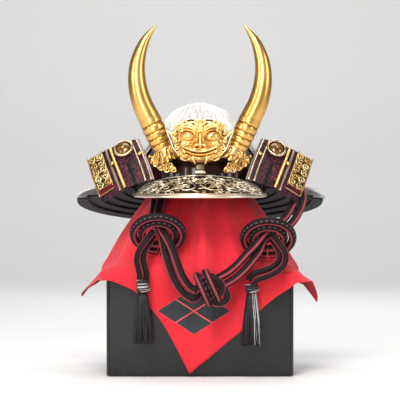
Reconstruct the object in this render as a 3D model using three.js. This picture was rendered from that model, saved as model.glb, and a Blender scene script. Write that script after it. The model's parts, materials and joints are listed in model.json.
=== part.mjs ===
// A gold-horned kabuto helmet resting on a chest stand under a red cloth.
// Millimetres, +Z up, +X to the viewer's right, the visor looks along -Y.
// The origin is the centre of the chest's underside.
import * as THREE from "three";
import { mergeVertices } from "three/addons/utils/BufferGeometryUtils.js";

// ---- driving dimensions ----
const GAP = 0.4; // clearance between pieces that touch
const DEG = Math.PI / 180;
const STEP = 1e-3; // small step for slopes, and the distance at which points are one
const DEPTH_SHARE = 1.1; // the head space is longer front to back than it is wide

const CHEST = { width: 260, depth: 200, height: 138, corner: 7, bevel: 2.5 };
const POST = {
  footRadius: 42,
  footHeight: 9,
  stemRadius: 15,
  neckZ: 296,
  headRadius: 41,
  headZ: 322,
  topZ: 360.6,
};
const CLOTH = { wall: 1.8, topGap: 0.6, standOff: 2.6 };
const BOWL = { rimRadius: 88, wall: 2.8, rimZ: 252, rimSlope: 0.15, topZ: 372 };
const BAND = { height: 13, wall: 2 };
const VISOR = {
  halfAngle: 80, // each end's angle from the front's middle
  reach: 55,
  leastReach: 1.5,
  sideNarrow: 0.85,
  wall: 1.6,
  topZ: 279,
  drop: 29.6,
  lowZ: 250.5,
  endRise: 3,
  rimRadius: 2.1,
};
const NECK = {
  lames: 5,
  halfAngle: 98, // each end's angle from the back's middle
  innerX: 93.5,
  innerY: 103.5,
  reachX: 82,
  reachY: 77,
  wall: 2,
  step: 2.6, // each lame lies this much above the one below
  lap: 1.16, // a lame is this much taller than its share
  backZ: 211,
  tipRise: 31.5,
};
const MASK = { backY: -113.4, wall: 3 };
const HORN = { y: -95, sides: 10 };
const STRAND = { radius: 5.8, sides: 8 };
const RING = { innerRadius: 22, outerRadius: 33.9, tilt: 45, opening: 3 };

// ---- helpers ----
const lerp = (a, b, t) => a + (b - a) * t;
const clamp01 = (t) => Math.min(1, Math.max(0, t));
const smooth = (t) => clamp01(t) ** 2 * (3 - 2 * clamp01(t));
const gauss = (d, width) => Math.exp(-((d / width) ** 2));

// A value read off a table of rows at t from 0 to 1, with rounded joins between the rows.
function along(rows, key, t) {
  const place = clamp01(t) * (rows.length - 1);
  const i = Math.min(rows.length - 2, Math.floor(place));
  const at = (k) => rows[Math.min(rows.length - 1, Math.max(0, k))][key];
  const [a, b, c, d] = [at(i - 1), at(i), at(i + 1), at(i + 2)];
  const s = place - i;
  const bend = (2 * a - 5 * b + 4 * c - d) * s ** 2;
  const twist = (3 * b - a - 3 * c + d) * s ** 3;
  return 0.5 * (2 * b + (c - a) * s + bend + twist);
}

// Turns points and triangles into one closed geometry whose faces point out.
function closedGeometry(points, triangles) {
  let geometry = new THREE.BufferGeometry();
  geometry.setAttribute("position", new THREE.Float32BufferAttribute(points.flat(), 3));
  geometry.setIndex(triangles.flat());
  geometry = mergeVertices(geometry, STEP);
  const old = geometry.getIndex().array;
  const p = geometry.getAttribute("position");
  const kept = [];
  let volume = 0;
  for (let i = 0; i < old.length; i += 3) {
    const [a, b, c] = [old[i], old[i + 1], old[i + 2]];
    if (a === b || b === c || a === c) continue;
    kept.push([a, b, c]);
    const [u, v, w] = [a, b, c].map((k) => new THREE.Vector3().fromBufferAttribute(p, k));
    volume += u.dot(v.cross(w));
  }
  geometry.setIndex((volume < 0 ? kept.map(([a, b, c]) => [a, c, b]) : kept).flat());
  geometry.computeVertexNormals();
  return geometry;
}

// A wall between two surfaces, each a function of u and v from 0 to 1.
// wrap joins u = 1 to u = 0; where points of a row coincide, the wall closes to a point.
function wallSolid({ nu, nv, front, back, wrap = false }) {
  const points = [];
  const triangles = [];
  const columns = wrap ? nu : nu + 1;
  for (const surface of [front, back]) {
    for (let j = 0; j <= nv; j++) {
      for (let i = 0; i < columns; i++) points.push(surface(i / nu, j / nv));
    }
  }
  const layer = columns * (nv + 1);
  const id = (side, i, j) => side * layer + j * columns + (wrap ? i % nu : i);
  const quad = (a, b, c, d) => triangles.push([a, b, c], [a, c, d]);
  for (let j = 0; j < nv; j++) {
    for (let i = 0; i < nu; i++) {
      quad(id(0, i, j), id(0, i + 1, j), id(0, i + 1, j + 1), id(0, i, j + 1));
      quad(id(1, i, j), id(1, i, j + 1), id(1, i + 1, j + 1), id(1, i + 1, j));
    }
  }
  for (let i = 0; i < nu; i++) {
    quad(id(0, i + 1, 0), id(0, i, 0), id(1, i, 0), id(1, i + 1, 0));
    quad(id(0, i, nv), id(0, i + 1, nv), id(1, i + 1, nv), id(1, i, nv));
  }
  if (!wrap) {
    for (let j = 0; j < nv; j++) {
      quad(id(0, 0, j), id(0, 0, j + 1), id(1, 0, j + 1), id(1, 0, j));
      quad(id(0, nu, j + 1), id(0, nu, j), id(1, nu, j), id(1, nu, j + 1));
    }
  }
  return closedGeometry(points, triangles);
}

// The unit normal of a surface of u and v, found by small steps.
function normalOf(surface, u, v) {
  const p = (a, b) => new THREE.Vector3(...surface(a, b));
  const du = p(u + STEP, v).sub(p(u - STEP, v));
  const dv = p(u, v + STEP).sub(p(u, v - STEP));
  return du.cross(dv).normalize();
}

// The same surface, moved along its normal.
function offsetOf(surface, distance) {
  return (u, v) => {
    const n = normalOf(surface, u, v);
    const p = surface(u, v);
    return [p[0] + n.x * distance, p[1] + n.y * distance, p[2] + n.z * distance];
  };
}

// A round solid of changing radius swept along a list of centres.
function sweptSolid(centres, radii, sides) {
  const path = centres.map((c) => new THREE.Vector3(...c));
  const points = [];
  const triangles = [];
  let side = new THREE.Vector3(0, 1, 0);
  path.forEach((c, k) => {
    const next = path[Math.min(k + 1, path.length - 1)];
    const forward = next.clone().sub(path[Math.max(k - 1, 0)]).normalize();
    side = side.clone().addScaledVector(forward, -side.dot(forward)).normalize();
    const up = forward.clone().cross(side);
    for (let i = 0; i < sides; i++) {
      const a = (2 * Math.PI * i) / sides;
      const p = c.clone().addScaledVector(side, radii[k] * Math.cos(a));
      points.push(p.addScaledVector(up, radii[k] * Math.sin(a)).toArray());
    }
  });
  const last = path.length - 1;
  points.push(path[0].toArray(), path[last].toArray());
  const id = (k, i) => k * sides + (i % sides);
  for (let k = 0; k < last; k++) {
    for (let i = 0; i < sides; i++) {
      triangles.push([id(k, i), id(k, i + 1), id(k + 1, i + 1)]);
      triangles.push([id(k, i), id(k + 1, i + 1), id(k + 1, i)]);
    }
  }
  for (let i = 0; i < sides; i++) {
    triangles.push([id(0, i + 1), id(0, i), points.length - 2]);
    triangles.push([id(last, i), id(last, i + 1), points.length - 1]);
  }
  return closedGeometry(points, triangles);
}

// A turned solid about the Z axis. Its rows give radius and height.
// They start and end on the axis, or close on themselves.
function turnedSolid(rows, segments) {
  const lathe = new THREE.LatheGeometry(rows.map(([r, z]) => new THREE.Vector2(r, z)), segments);
  lathe.rotateX(Math.PI / 2);
  lathe.deleteAttribute("normal");
  lathe.deleteAttribute("uv");
  const p = lathe.getAttribute("position");
  const points = Array.from({ length: p.count }, (_, i) => [p.getX(i), p.getY(i), p.getZ(i)]);
  const index = lathe.getIndex().array;
  const triangles = [];
  for (let i = 0; i < index.length; i += 3) triangles.push([index[i], index[i + 1], index[i + 2]]);
  return closedGeometry(points, triangles);
}

// Welds a three.js solid and keeps only its positions.
function weld(geometry) {
  const bare = geometry.index ? geometry.toNonIndexed() : geometry;
  const p = bare.getAttribute("position");
  const points = Array.from({ length: p.count }, (_, i) => [p.getX(i), p.getY(i), p.getZ(i)]);
  const triangles = Array.from({ length: p.count / 3 }, (_, i) => [3 * i, 3 * i + 1, 3 * i + 2]);
  return closedGeometry(points, triangles);
}

const finishes = {
  lacquer: { color: 0x0b0a0b, roughness: 0.18, metalness: 0.0 },
  brownLacquer: { color: 0x2a0d08, roughness: 0.25, metalness: 0.0 },
  cloth: { color: 0xe0202c, roughness: 0.9, metalness: 0.0 },
  gold: { color: 0xd8a441, roughness: 0.28, metalness: 1.0 },
  paleGold: { color: 0xcdb78c, roughness: 0.35, metalness: 1.0 },
  hair: { color: 0xf4f2ec, roughness: 0.8, metalness: 0.0 },
  leather: { color: 0x3a1a2a, roughness: 0.55, metalness: 0.0 },
  amber: { color: 0x6b3d0c, roughness: 0.15, metalness: 0.6 },
  lacing: { color: 0x171214, roughness: 0.85, metalness: 0.0 },
};
const material = Object.fromEntries(
  Object.entries(finishes).map(([name, values]) => [name, new THREE.MeshStandardMaterial(values)]),
);

const kabuto = new THREE.Group();
kabuto.name = "kabuto";

function add(name, geometry, finish, group = kabuto) {
  const mesh = new THREE.Mesh(geometry, material[finish]);
  mesh.name = name;
  group.add(mesh);
  return mesh;
}

const HEAD_ANGLES = [0, 35, 70]; // the post's head and the cloth over it share these rows

// ---- the stand: a plain lacquered chest, a turned post and the cloth over both ----
function chestShape() {
  const { width, depth, corner, bevel } = CHEST;
  const x = width / 2 - bevel;
  const y = depth / 2 - bevel;
  const shape = new THREE.Shape();
  shape.moveTo(-x + corner, -y);
  shape.lineTo(x - corner, -y);
  shape.absarc(x - corner, -y + corner, corner, -Math.PI / 2, 0);
  shape.lineTo(x, y - corner);
  shape.absarc(x - corner, y - corner, corner, 0, Math.PI / 2);
  shape.lineTo(-x + corner, y);
  shape.absarc(-x + corner, y - corner, corner, Math.PI / 2, Math.PI);
  shape.lineTo(-x, -y + corner);
  shape.absarc(-x + corner, -y + corner, corner, Math.PI, 1.5 * Math.PI);
  return shape;
}

function addStand() {
  const { height, bevel } = CHEST;
  const chest = new THREE.ExtrudeGeometry(chestShape(), {
    depth: height - 2 * bevel,
    bevelThickness: bevel,
    bevelSize: bevel,
    bevelSegments: 1,
    curveSegments: 3,
  });
  chest.translate(0, 0, bevel);
  add("stand_chest", weld(chest), "lacquer");

  const { footRadius, footHeight, stemRadius, neckZ, headRadius, headZ, topZ } = POST;
  const foot = height + GAP;
  const rows = [
    [0, foot],
    [footRadius, foot],
    [footRadius, foot + footHeight],
    [stemRadius, foot + footHeight * 1.6],
    [stemRadius, neckZ],
    [headRadius * 0.9, headZ - 5],
  ];
  for (const a of [90, ...HEAD_ANGLES.toReversed()]) {
    rows.push([headRadius * Math.sin(a * DEG), headZ + (topZ - headZ) * Math.cos(a * DEG)]);
  }
  add("stand_post", turnedSolid(rows, 20), "lacquer");
}

// The tent that the cloth makes between the post's head and the chest's edge.
const TENT = [
  ...HEAD_ANGLES.map((a) => ({
    x: (POST.headRadius + 1.6) * Math.sin(a * DEG),
    y: (POST.headRadius + 1.6) * Math.sin(a * DEG),
    z: POST.headZ + (POST.topZ + CLOTH.topGap - POST.headZ) * Math.cos(a * DEG),
  })),
  { x: 46, y: 45, z: 310 },
  { x: 50, y: 50, z: 285 },
  { x: 60, y: 58, z: 258 },
  { x: 80, y: 68, z: 230 },
  { x: 104, y: 82, z: 196 },
  { x: 121, y: 95, z: 166 },
  { x: 133, y: 103.5, z: 142.5 },
];

// Lowest height of the hem at an angle round the stand, from the front face's middle (-90 degrees).
// The cloth is a square laid cornerwise, so four corners hang.
const HEM = [
  { angle: -180, z: 106 },
  { angle: -161, z: 131 },
  { angle: -140, z: 133 },
  { angle: -130, z: 118 },
  { angle: -117, z: 76 },
  { angle: -97.7, z: 3.2 },
  { angle: -90, z: 17 },
  { angle: -76, z: 37 },
  { angle: -62, z: 62 },
  { angle: -50, z: 96 },
  { angle: -37.5, z: 130 },
  { angle: -24, z: 131 },
  { angle: -12, z: 99 },
  { angle: 0, z: 121 },
  { angle: 25, z: 132 },
  { angle: 52, z: 118 },
  { angle: 72, z: 70 },
  { angle: 90, z: 38 },
  { angle: 108, z: 70 },
  { angle: 128, z: 118 },
  { angle: 155, z: 132 },
  { angle: 180, z: 106 },
];

function hemHeight(angle) {
  const wrapped = ((((angle + 180) % 360) + 360) % 360) - 180;
  const k = Math.max(1, HEM.findIndex((row) => row.angle >= wrapped));
  const [a, b] = [HEM[k - 1], HEM[k]];
  return lerp(a.z, b.z, (wrapped - a.angle) / (b.angle - a.angle));
}

// Half-width of the hanging cloth at an angle: the chest's outline with its corners eased.
function skirtReach(angle) {
  const c = Math.abs(Math.cos(angle * DEG));
  const s = Math.abs(Math.sin(angle * DEG));
  const x = CHEST.width / 2 + CLOTH.standOff;
  const y = CHEST.depth / 2 + CLOTH.standOff;
  const power = 14; // the higher, the squarer the corners
  return ((c / x) ** power + (s / y) ** power) ** (-1 / power);
}

// Folds: each is a ridge at an angle, so wide, so far out, deepest near the chest.
const FOLDS = [
  { angle: -88, wide: 8, out: 15 },
  { angle: -61, wide: 7, out: 6 },
  { angle: -128, wide: 8, out: 5 },
  { angle: -147, wide: 9, out: 8 },
  { angle: -30, wide: 9, out: 8 },
  { angle: 3, wide: 9, out: 7 },
  { angle: 38, wide: 10, out: 8 },
  { angle: 75, wide: 9, out: 8 },
  { angle: 112, wide: 9, out: 8 },
  { angle: 145, wide: 9, out: 8 },
  { angle: 178, wide: 9, out: 7 },
];

function foldOut(angle, z) {
  const rise = smooth((340 - z) / 110);
  return FOLDS.reduce((sum, fold) => {
    const away = ((((angle - fold.angle + 180) % 360) + 360) % 360) - 180;
    return sum + fold.out * gauss(away, fold.wide) * rise;
  }, 0);
}

// The side corners stand out from the chest, at these angles, so wide and so far.
const FLARE = { right: -14, left: 178, wide: 17, out: 32 };
const TENT_SHARE = 9 / 13; // share of the cloth's rows that lie on the tent; the rest hang

function clothSurface(thick) {
  return (u, v) => {
    const angle = -180 + 360 * u;
    const [c, s] = [Math.cos(angle * DEG), Math.sin(angle * DEG)];
    const t = clamp01(v / TENT_SHARE);
    const row = { x: along(TENT, "x", t), y: along(TENT, "y", t), z: along(TENT, "z", t) };
    const reach = skirtReach(angle);
    const tent = Math.max(0, 1 / Math.hypot(c / Math.max(row.x, 1e-6), s / Math.max(row.y, 1e-6)));
    const spread = smooth((t - 0.9) / 0.1);
    let radius = lerp(tent, reach, spread * t);
    let z = row.z;
    const hang = clamp01((v - TENT_SHARE) / (1 - TENT_SHARE));
    const fold = foldOut(angle, z) * lerp(1, 0.55, hang);
    const fromRight = Math.abs(angle - FLARE.right);
    const fromLeft = Math.abs(Math.abs(angle) - FLARE.left);
    const flare = hang * FLARE.out * gauss(Math.min(fromRight, fromLeft), FLARE.wide);
    z = lerp(z, Math.min(z - 2, hemHeight(angle)), hang);
    radius += fold + flare + thick * clamp01(10 * t);
    return [radius * c, radius * s, z + thick * (1 - t)];
  };
}

function addCloth() {
  const inner = clothSurface(CLOTH.topGap);
  const outer = clothSurface(CLOTH.topGap + CLOTH.wall);
  add("stand_cloth", wallSolid({ nu: 54, nv: 13, front: outer, back: inner, wrap: true }), "cloth");
}

// ---- the helmet's bowl, band, visor and crest holder ----
const BOWL_ROWS = [
  { r: 88, z: 252 },
  { r: 88, z: 268 },
  { r: 86.5, z: 282 },
  { r: 80, z: 298 },
  { r: 70, z: 315 },
  { r: 58.5, z: 332 },
  { r: 47.5, z: 345 },
  { r: 37, z: 356 },
  { r: 23, z: 365.5 },
  { r: 8, z: 371.2 },
  { r: 0, z: 372 },
];

// The rim is level from side to side and higher at the front than at the back.
function rimLift(y, z) {
  return -BOWL.rimSlope * y * clamp01((BOWL.topZ - z) / (BOWL.topZ - BOWL.rimZ));
}

function ringSurface(rows, shrink) {
  return (u, v) => {
    const angle = 2 * Math.PI * u;
    const r = Math.max(0, along(rows, "r", v) - shrink * clamp01(12 * (1 - v)));
    const x = r * Math.cos(angle);
    const y = DEPTH_SHARE * r * Math.sin(angle);
    const z = along(rows, "z", v) - shrink * smooth(v) * 0.95;
    return [x, y, z + rimLift(y, z)];
  };
}

function addBowl() {
  const outer = ringSurface(BOWL_ROWS, 0);
  const inner = ringSurface(BOWL_ROWS, BOWL.wall);
  const bowl = wallSolid({ nu: 30, nv: 10, front: outer, back: inner, wrap: true });
  add("helmet_bowl", bowl, "brownLacquer");

  const bandRow = (r) => [{ r, z: BOWL.rimZ }, { r, z: BOWL.rimZ + BAND.height }];
  const band = (out) => ringSurface(bandRow(BOWL.rimRadius + GAP + out), 0);
  const strip = wallSolid({ nu: 30, nv: 1, front: band(BAND.wall), back: band(0), wrap: true });
  add("bowl_band", strip, "lacquer");
}

// The visor is a crescent: its inner edge follows the bowl, its outer edge runs forward and down.
function visorSurface(u, v) {
  const turn = lerp(-VISOR.halfAngle, VISOR.halfAngle, u) * DEG;
  const inner = BOWL.rimRadius + GAP + BAND.wall + GAP;
  const crescent = Math.cos((u - 0.5) * Math.PI) ** 0.62;
  const reach = Math.max(VISOR.leastReach, VISOR.reach * crescent);
  const narrow = 1 - VISOR.sideNarrow * Math.sin(turn) ** 2;
  const highZ = VISOR.topZ - VISOR.drop * (1 - Math.cos(turn));
  const low = VISOR.lowZ + VISOR.endRise * (1 - Math.cos(turn));
  const fall = v ** 1.15;
  const x = (inner + v * reach * narrow) * Math.sin(turn);
  const y = -(DEPTH_SHARE * inner + v * reach) * Math.cos(turn);
  return [x, y, lerp(highZ, low, fall)];
}

function addVisor() {
  const front = visorSurface;
  const back = (u, v) => {
    const p = visorSurface(u, v);
    return [p[0], p[1], p[2] - VISOR.wall];
  };
  add("visor_plate", wallSolid({ nu: 22, nv: 3, front, back }), "paleGold");

  const centres = [];
  const steps = 24;
  const out = VISOR.rimRadius + GAP + 0.3;
  for (let k = 0; k <= steps; k++) {
    const u = lerp(0.035, 0.965, k / steps);
    const p = visorSurface(u, 1);
    const turn = lerp(-VISOR.halfAngle, VISOR.halfAngle, u) * DEG;
    const z = p[2] - VISOR.wall / 2 - 0.6;
    centres.push([p[0] + out * Math.sin(turn), p[1] - out * Math.cos(turn), z]);
  }
  const radii = centres.map(() => VISOR.rimRadius);
  add("visor_rim", sweptSolid(centres, radii, 6), "gold");
}

function addCrestHolder() {
  const shape = new THREE.Shape();
  shape.moveTo(-8, 281);
  shape.lineTo(8, 281);
  shape.lineTo(6.2, 293.5);
  shape.lineTo(-6.2, 293.5);
  shape.closePath();
  const holder = weld(new THREE.ExtrudeGeometry(shape, { depth: 10, bevelEnabled: false }));
  holder.rotateX(Math.PI / 2);
  holder.translate(0, -99.6, 0);
  add("crest_holder", holder, "gold");
}

// ---- the neck guard: laced lames, each tucked under the one above ----
function neckSurface(lame, lift) {
  return (u, v) => {
    const turn = lerp(-NECK.halfAngle, NECK.halfAngle, u) * DEG;
    const s = Math.min(1, (lame + v * NECK.lap) / NECK.lames);
    const [c, d] = [Math.sin(turn), Math.cos(turn)];
    const x = c * (NECK.innerX + NECK.reachX * s);
    const y = d * (NECK.innerY + NECK.reachY * s);
    const innerZ = BOWL.rimZ - BOWL.rimSlope * d * NECK.innerY - NECK.wall;
    const outerZ = NECK.backZ + NECK.tipRise * (1 - d);
    const stack = NECK.step * (NECK.lames - 1 - lame);
    return [x, y, lerp(innerZ, outerZ, s ** 1.12) + stack + lift];
  };
}

function addNeckGuard() {
  for (let lame = 0; lame < NECK.lames; lame++) {
    const front = neckSurface(lame, 0);
    const back = neckSurface(lame, -NECK.wall);
    add(`neck_lame_${lame + 1}`, wallSolid({ nu: 20, nv: 2, front, back }), "lacing");
  }
}

// ---- the turn-backs: the top lame's front ends, swept out and leaning back ----
// Its corners, as seen from the front, and how far it leans and sweeps back.
const TURNBACK = {
  innerLow: [65, 272],
  innerHigh: [89, 331],
  outerHigh: [160, 300],
  outerLow: [137, 240],
  frontY: -86,
  lean: 46,
  sweep: 24,
  wall: 2,
};

function turnbackSurface(mirror) {
  const { innerLow, innerHigh, outerHigh, outerLow } = TURNBACK;
  return (u, v) => {
    const arch = Math.sin(Math.PI * u);
    const lowX = lerp(innerLow[0], outerLow[0], u);
    const lowZ = lerp(innerLow[1], outerLow[1], u) + 5 * arch;
    const highX = lerp(innerHigh[0], outerHigh[0], u);
    const highZ = lerp(innerHigh[1], outerHigh[1], u) + 3 * arch;
    const x = lerp(lowX, highX, v) + 3 * Math.sin(Math.PI * v) * (u - 0.5);
    const leanBack = TURNBACK.lean * Math.max(0, v) ** 1.1;
    const y = TURNBACK.frontY + leanBack + TURNBACK.sweep * u ** 2 - 7 * arch;
    return [mirror * x, y, lerp(lowZ, highZ, v)];
  };
}

// A strip laid on the turn-back between two places across it, so thick, over part of its height.
function turnbackStrip(mirror, from, to, height, thick) {
  const whole = turnbackSurface(mirror);
  const part = (u, v) => whole(lerp(from, to, u), lerp(height[0], height[1], v));
  return wallSolid({
    nu: to - from > 0.2 ? 4 : 1,
    nv: 5,
    front: offsetOf(part, mirror * (GAP + thick)),
    back: offsetOf(part, mirror * GAP),
  });
}

const TURNBACK_BOSS = { u: 0.31, v: 0.83, radius: 14.2, dome: 10.2, lift: 3.6 };

function addBoss(mirror, side) {
  const whole = turnbackSurface(mirror);
  const { u, v, radius, dome, lift } = TURNBACK_BOSS;
  const n = normalOf(whole, u, v).multiplyScalar(mirror);
  const group = new THREE.Group();
  group.quaternion.setFromUnitVectors(new THREE.Vector3(0, 0, 1), n);
  group.position.set(...whole(u, v)).addScaledVector(n, lift);
  kabuto.add(group);
  const inside = dome + GAP;
  const ring = [
    [inside, 0],
    [radius, 0],
    [radius, 2.4],
    [radius - 1.5, 4],
    [inside + 0.6, 3],
    [inside, 1.6],
    [inside, 0],
  ];
  add(`turnback_boss_ring_${side}`, turnedSolid(ring, 16), "paleGold", group);
  const cap = [
    [0, 0],
    [dome, 0],
    [dome, 1.4],
    [dome * 0.82, 3.4],
    [dome * 0.45, 4.8],
    [0, 5.2],
  ];
  add(`turnback_boss_dome_${side}`, turnedSolid(cap, 14), "amber", group);
}

const STRIPS = [
  { name: "filigree", from: 0.7, to: 0.995, low: 0.13, high: 0.985, thick: 1.6, finish: "gold" },
  { name: "outer_strip", from: 0.6, to: 0.645, low: 0.03, high: 0.985, thick: 2.2, finish: "gold" },
  { name: "rope_strip", from: 0.5, to: 0.555, low: 0.03, high: 0.985, thick: 2.6, finish: "gold" },
  { name: "inner_strip", from: 0.115, to: 0.165, low: 0.02, high: 0.985, thick: 2.4, finish: "gold" },
  { name: "edge_strip", from: 0.01, to: 0.05, low: 0.02, high: 0.985, thick: 2.0, finish: "paleGold" },
];

const KNOBS = [
  { name: "outer_knob", u: 0.578, v: 0.62, radius: 3.4, high: 5.4 },
  { name: "inner_knob", u: 0.082, v: 0.62, radius: 3.0, high: 5.0 },
];

function addTurnback(mirror, side) {
  const whole = turnbackSurface(mirror);
  const back = offsetOf(whole, -mirror * TURNBACK.wall);
  add(`turnback_panel_${side}`, wallSolid({ nu: 7, nv: 5, front: whole, back }), "leather");
  for (const strip of STRIPS) {
    const height = [strip.low, strip.high];
    const solid = turnbackStrip(mirror, strip.from, strip.to, height, strip.thick);
    add(`turnback_${strip.name}_${side}`, solid, strip.finish);
  }
  for (const knob of KNOBS) {
    const n = normalOf(whole, knob.u, knob.v).multiplyScalar(mirror);
    const mesh = add(`turnback_${knob.name}_${side}`, knobSolid(knob.radius, knob.high), "gold");
    mesh.quaternion.setFromUnitVectors(new THREE.Vector3(0, 0, 1), n);
    mesh.position.set(...whole(knob.u, knob.v)).addScaledVector(n, GAP);
  }
  addBoss(mirror, side);
}

// A small round-headed knob on a narrow foot.
function knobSolid(radius, high) {
  const footRadius = 0.9;
  const footHigh = 2.9;
  const rows = [
    [0, 0],
    [footRadius, 0],
    [footRadius, footHigh],
    [radius * 0.8, footHigh + 0.2],
    [radius, high * 0.72],
    [radius * 0.6, high],
    [0, high + 0.6],
  ];
  return turnedSolid(rows, 8);
}

// ---- the horned lion-demon front ornament ----
// Half-width of the mask at heights from the jaw to the brow.
const MASK_ROWS = [
  { wide: 8, z: 295 },
  { wide: 21, z: 300 },
  { wide: 28, z: 306 },
  { wide: 31, z: 313 },
  { wide: 32, z: 321 },
  { wide: 33, z: 331 },
  { wide: 33, z: 341 },
  { wide: 30, z: 350 },
  { wide: 14, z: 356 },
];

// Raised features on the mask: side to side place, height, half-widths and how far each stands out.
const FEATURES = [
  { x: 0, z: 328, wide: 30, tall: 30, out: 11 }, // the head's own roundness
  { x: 14, z: 347, wide: 10, tall: 4.5, out: 6 }, // curled brow
  { x: 17.5, z: 333, wide: 8, tall: 6, out: 7 }, // bulging eye
  { x: 0, z: 322, wide: 6.5, tall: 9, out: 11 }, // broad nose
  { x: 18, z: 320, wide: 9, tall: 4, out: 4 }, // cheek
  { x: 14, z: 313, wide: 13, tall: 3.4, out: 5 }, // upper lip and teeth
  { x: 0, z: 301, wide: 10, tall: 5, out: 6 }, // chin
];

function maskRelief(x, z) {
  return FEATURES.reduce((sum, f) => {
    const near = gauss(Math.abs(x) - f.x, f.wide) * gauss(z - f.z, f.tall);
    return sum + f.out * near;
  }, 0);
}

function addMask() {
  const place = (u, v) => {
    const wide = along(MASK_ROWS, "wide", v);
    return [lerp(-wide, wide, u), along(MASK_ROWS, "z", v)];
  };
  const front = (u, v) => {
    const [x, z] = place(u, v);
    const edge = Math.min(1, 6 * u, 6 * (1 - u), 7 * v, 7 * (1 - v));
    return [x, MASK.backY - MASK.wall - maskRelief(x, z) * edge ** 0.6, z];
  };
  const back = (u, v) => {
    const [x, z] = place(u, v);
    return [x, MASK.backY - GAP, z];
  };
  add("demon_mask", wallSolid({ nu: 16, nv: 14, front, back }), "gold");

  const shape = new THREE.Shape();
  shape.moveTo(0, 299);
  shape.quadraticCurveTo(22, 299, 31, 309);
  shape.quadraticCurveTo(38, 316, 40.5, 325);
  shape.lineTo(47, 341);
  shape.lineTo(36, 336);
  shape.quadraticCurveTo(34, 350, 20, 353);
  shape.lineTo(-20, 353);
  shape.quadraticCurveTo(-34, 350, -36, 336);
  shape.lineTo(-47, 341);
  shape.lineTo(-40.5, 325);
  shape.quadraticCurveTo(-38, 316, -31, 309);
  shape.quadraticCurveTo(-22, 299, 0, 299);
  const options = { depth: 2, bevelEnabled: false, curveSegments: 8 };
  const plate = weld(new THREE.ExtrudeGeometry(shape, options));
  plate.rotateX(Math.PI / 2);
  plate.translate(0, MASK.backY + options.depth, 0);
  add("mask_backplate", plate, "paleGold");
}

// Horn: height of the centre line, how far out it is, its radius.
const HORN_ROWS = [
  { x: 51.5, z: 318, r: 14.2 },
  { x: 57.5, z: 330, r: 15.2 },
  { x: 64, z: 344, r: 15.6 },
  { x: 72.5, z: 362, r: 15.0 },
  { x: 80, z: 378, r: 14.3 },
  { x: 85, z: 395, r: 13.3 },
  { x: 87.4, z: 411.5, r: 12.3 },
  { x: 87.2, z: 429, r: 10.9 },
  { x: 83.8, z: 446.5, r: 9.1 },
  { x: 77.4, z: 463.5, r: 6.8 },
  { x: 69.4, z: 476.5, r: 4.0 },
  { x: 60.8, z: 487, r: 0.7 },
];

function addHorn(mirror, side) {
  const steps = 17;
  const centres = [];
  const radii = [];
  for (let k = 0; k <= steps; k++) {
    const t = k / steps;
    const bow = 6 * Math.sin(Math.PI * t);
    centres.push([mirror * along(HORN_ROWS, "x", t), HORN.y - bow, along(HORN_ROWS, "z", t)]);
    radii.push(along(HORN_ROWS, "r", t));
  }
  add(`horn_${side}`, sweptSolid(centres, radii, HORN.sides), "gold");

  const collar = [
    [50.3, 315.6, 14.8],
    [48, 310.5, 16.4],
    [45, 304, 15.4],
    [43.5, 301.5, 11],
  ];
  const path = collar.map(([x, z]) => [mirror * x, HORN.y - 2.4, z]);
  add(`horn_collar_${side}`, sweptSolid(path, collar.map((row) => row[2]), HORN.sides), "gold");
}

// A flat scroll either side of the crest holder, standing just off the bowl.
const SCROLL = { x: 43, y: -99, z: 287.5 };

function addScroll(mirror, side) {
  const centres = [];
  const steps = 16;
  for (let k = 0; k <= steps; k++) {
    const t = k / steps;
    const turn = lerp(-40, 330, t) * DEG;
    const r = lerp(7.5, 3, t);
    const x = SCROLL.x + r * Math.cos(turn);
    centres.push([mirror * x, SCROLL.y + 2.2 * t, SCROLL.z + r * 0.85 * Math.sin(turn)]);
  }
  const radii = centres.map((_, k) => lerp(1.6, 2.1, k / steps));
  add(`scroll_${side}`, sweptSolid(centres, radii, 6), "gold");
}

// ---- the white hair cover ----
// Half-width, half-depth and height down the fall of hair: zSide at the sides, zBack at the back.
const HAIR_ROWS = [
  { x: 0, y: 0, zSide: 383.5, zBack: 383.5 },
  { x: 25, y: 27, zSide: 374.8, zBack: 374.8 },
  { x: 39, y: 43, zSide: 366.5, zBack: 366.5 },
  { x: 50, y: 55, zSide: 354, zBack: 354 },
  { x: 63, y: 69.5, zSide: 338, zBack: 338 },
  { x: 76, y: 84, zSide: 318, zBack: 318 },
  { x: 89, y: 98, zSide: 297, zBack: 295 },
  { x: 99, y: 110, zSide: 281, zBack: 272 },
  { x: 116, y: 128, zSide: 271, zBack: 254 },
  { x: 140, y: 150, zSide: 264.5, zBack: 240 },
  { x: 163, y: 172, zSide: 259.5, zBack: 226 },
  { x: 180, y: 188, zSide: 250, zBack: 211 },
];
const HAIR = { wall: 4.2, front: 0.36, backHalfAngle: 84, ease: 24 };

function hairSurface(shrink) {
  return (u, v) => {
    const turn = 360 * u - 180;
    const falls = smooth((HAIR.backHalfAngle + HAIR.ease - Math.abs(turn)) / HAIR.ease);
    const t = v * lerp(HAIR.front, 1, falls);
    const share = Math.cos(turn * DEG) ** 2;
    const thin = shrink * lerp(1, 0.6, t);
    const pull = thin * 0.75 * clamp01(9 * t);
    const x = Math.max(0, along(HAIR_ROWS, "x", t) - pull) * Math.sin(turn * DEG);
    const y = Math.max(0, along(HAIR_ROWS, "y", t) - pull) * Math.cos(turn * DEG);
    const z = lerp(along(HAIR_ROWS, "zSide", t), along(HAIR_ROWS, "zBack", t), share);
    return [x, y, z - thin * 0.8];
  };
}

function addHair() {
  const front = hairSurface(0);
  const back = hairSurface(HAIR.wall);
  add("hair_cover", wallSolid({ nu: 34, nv: 11, front, back, wrap: true }), "hair");
}

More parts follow.
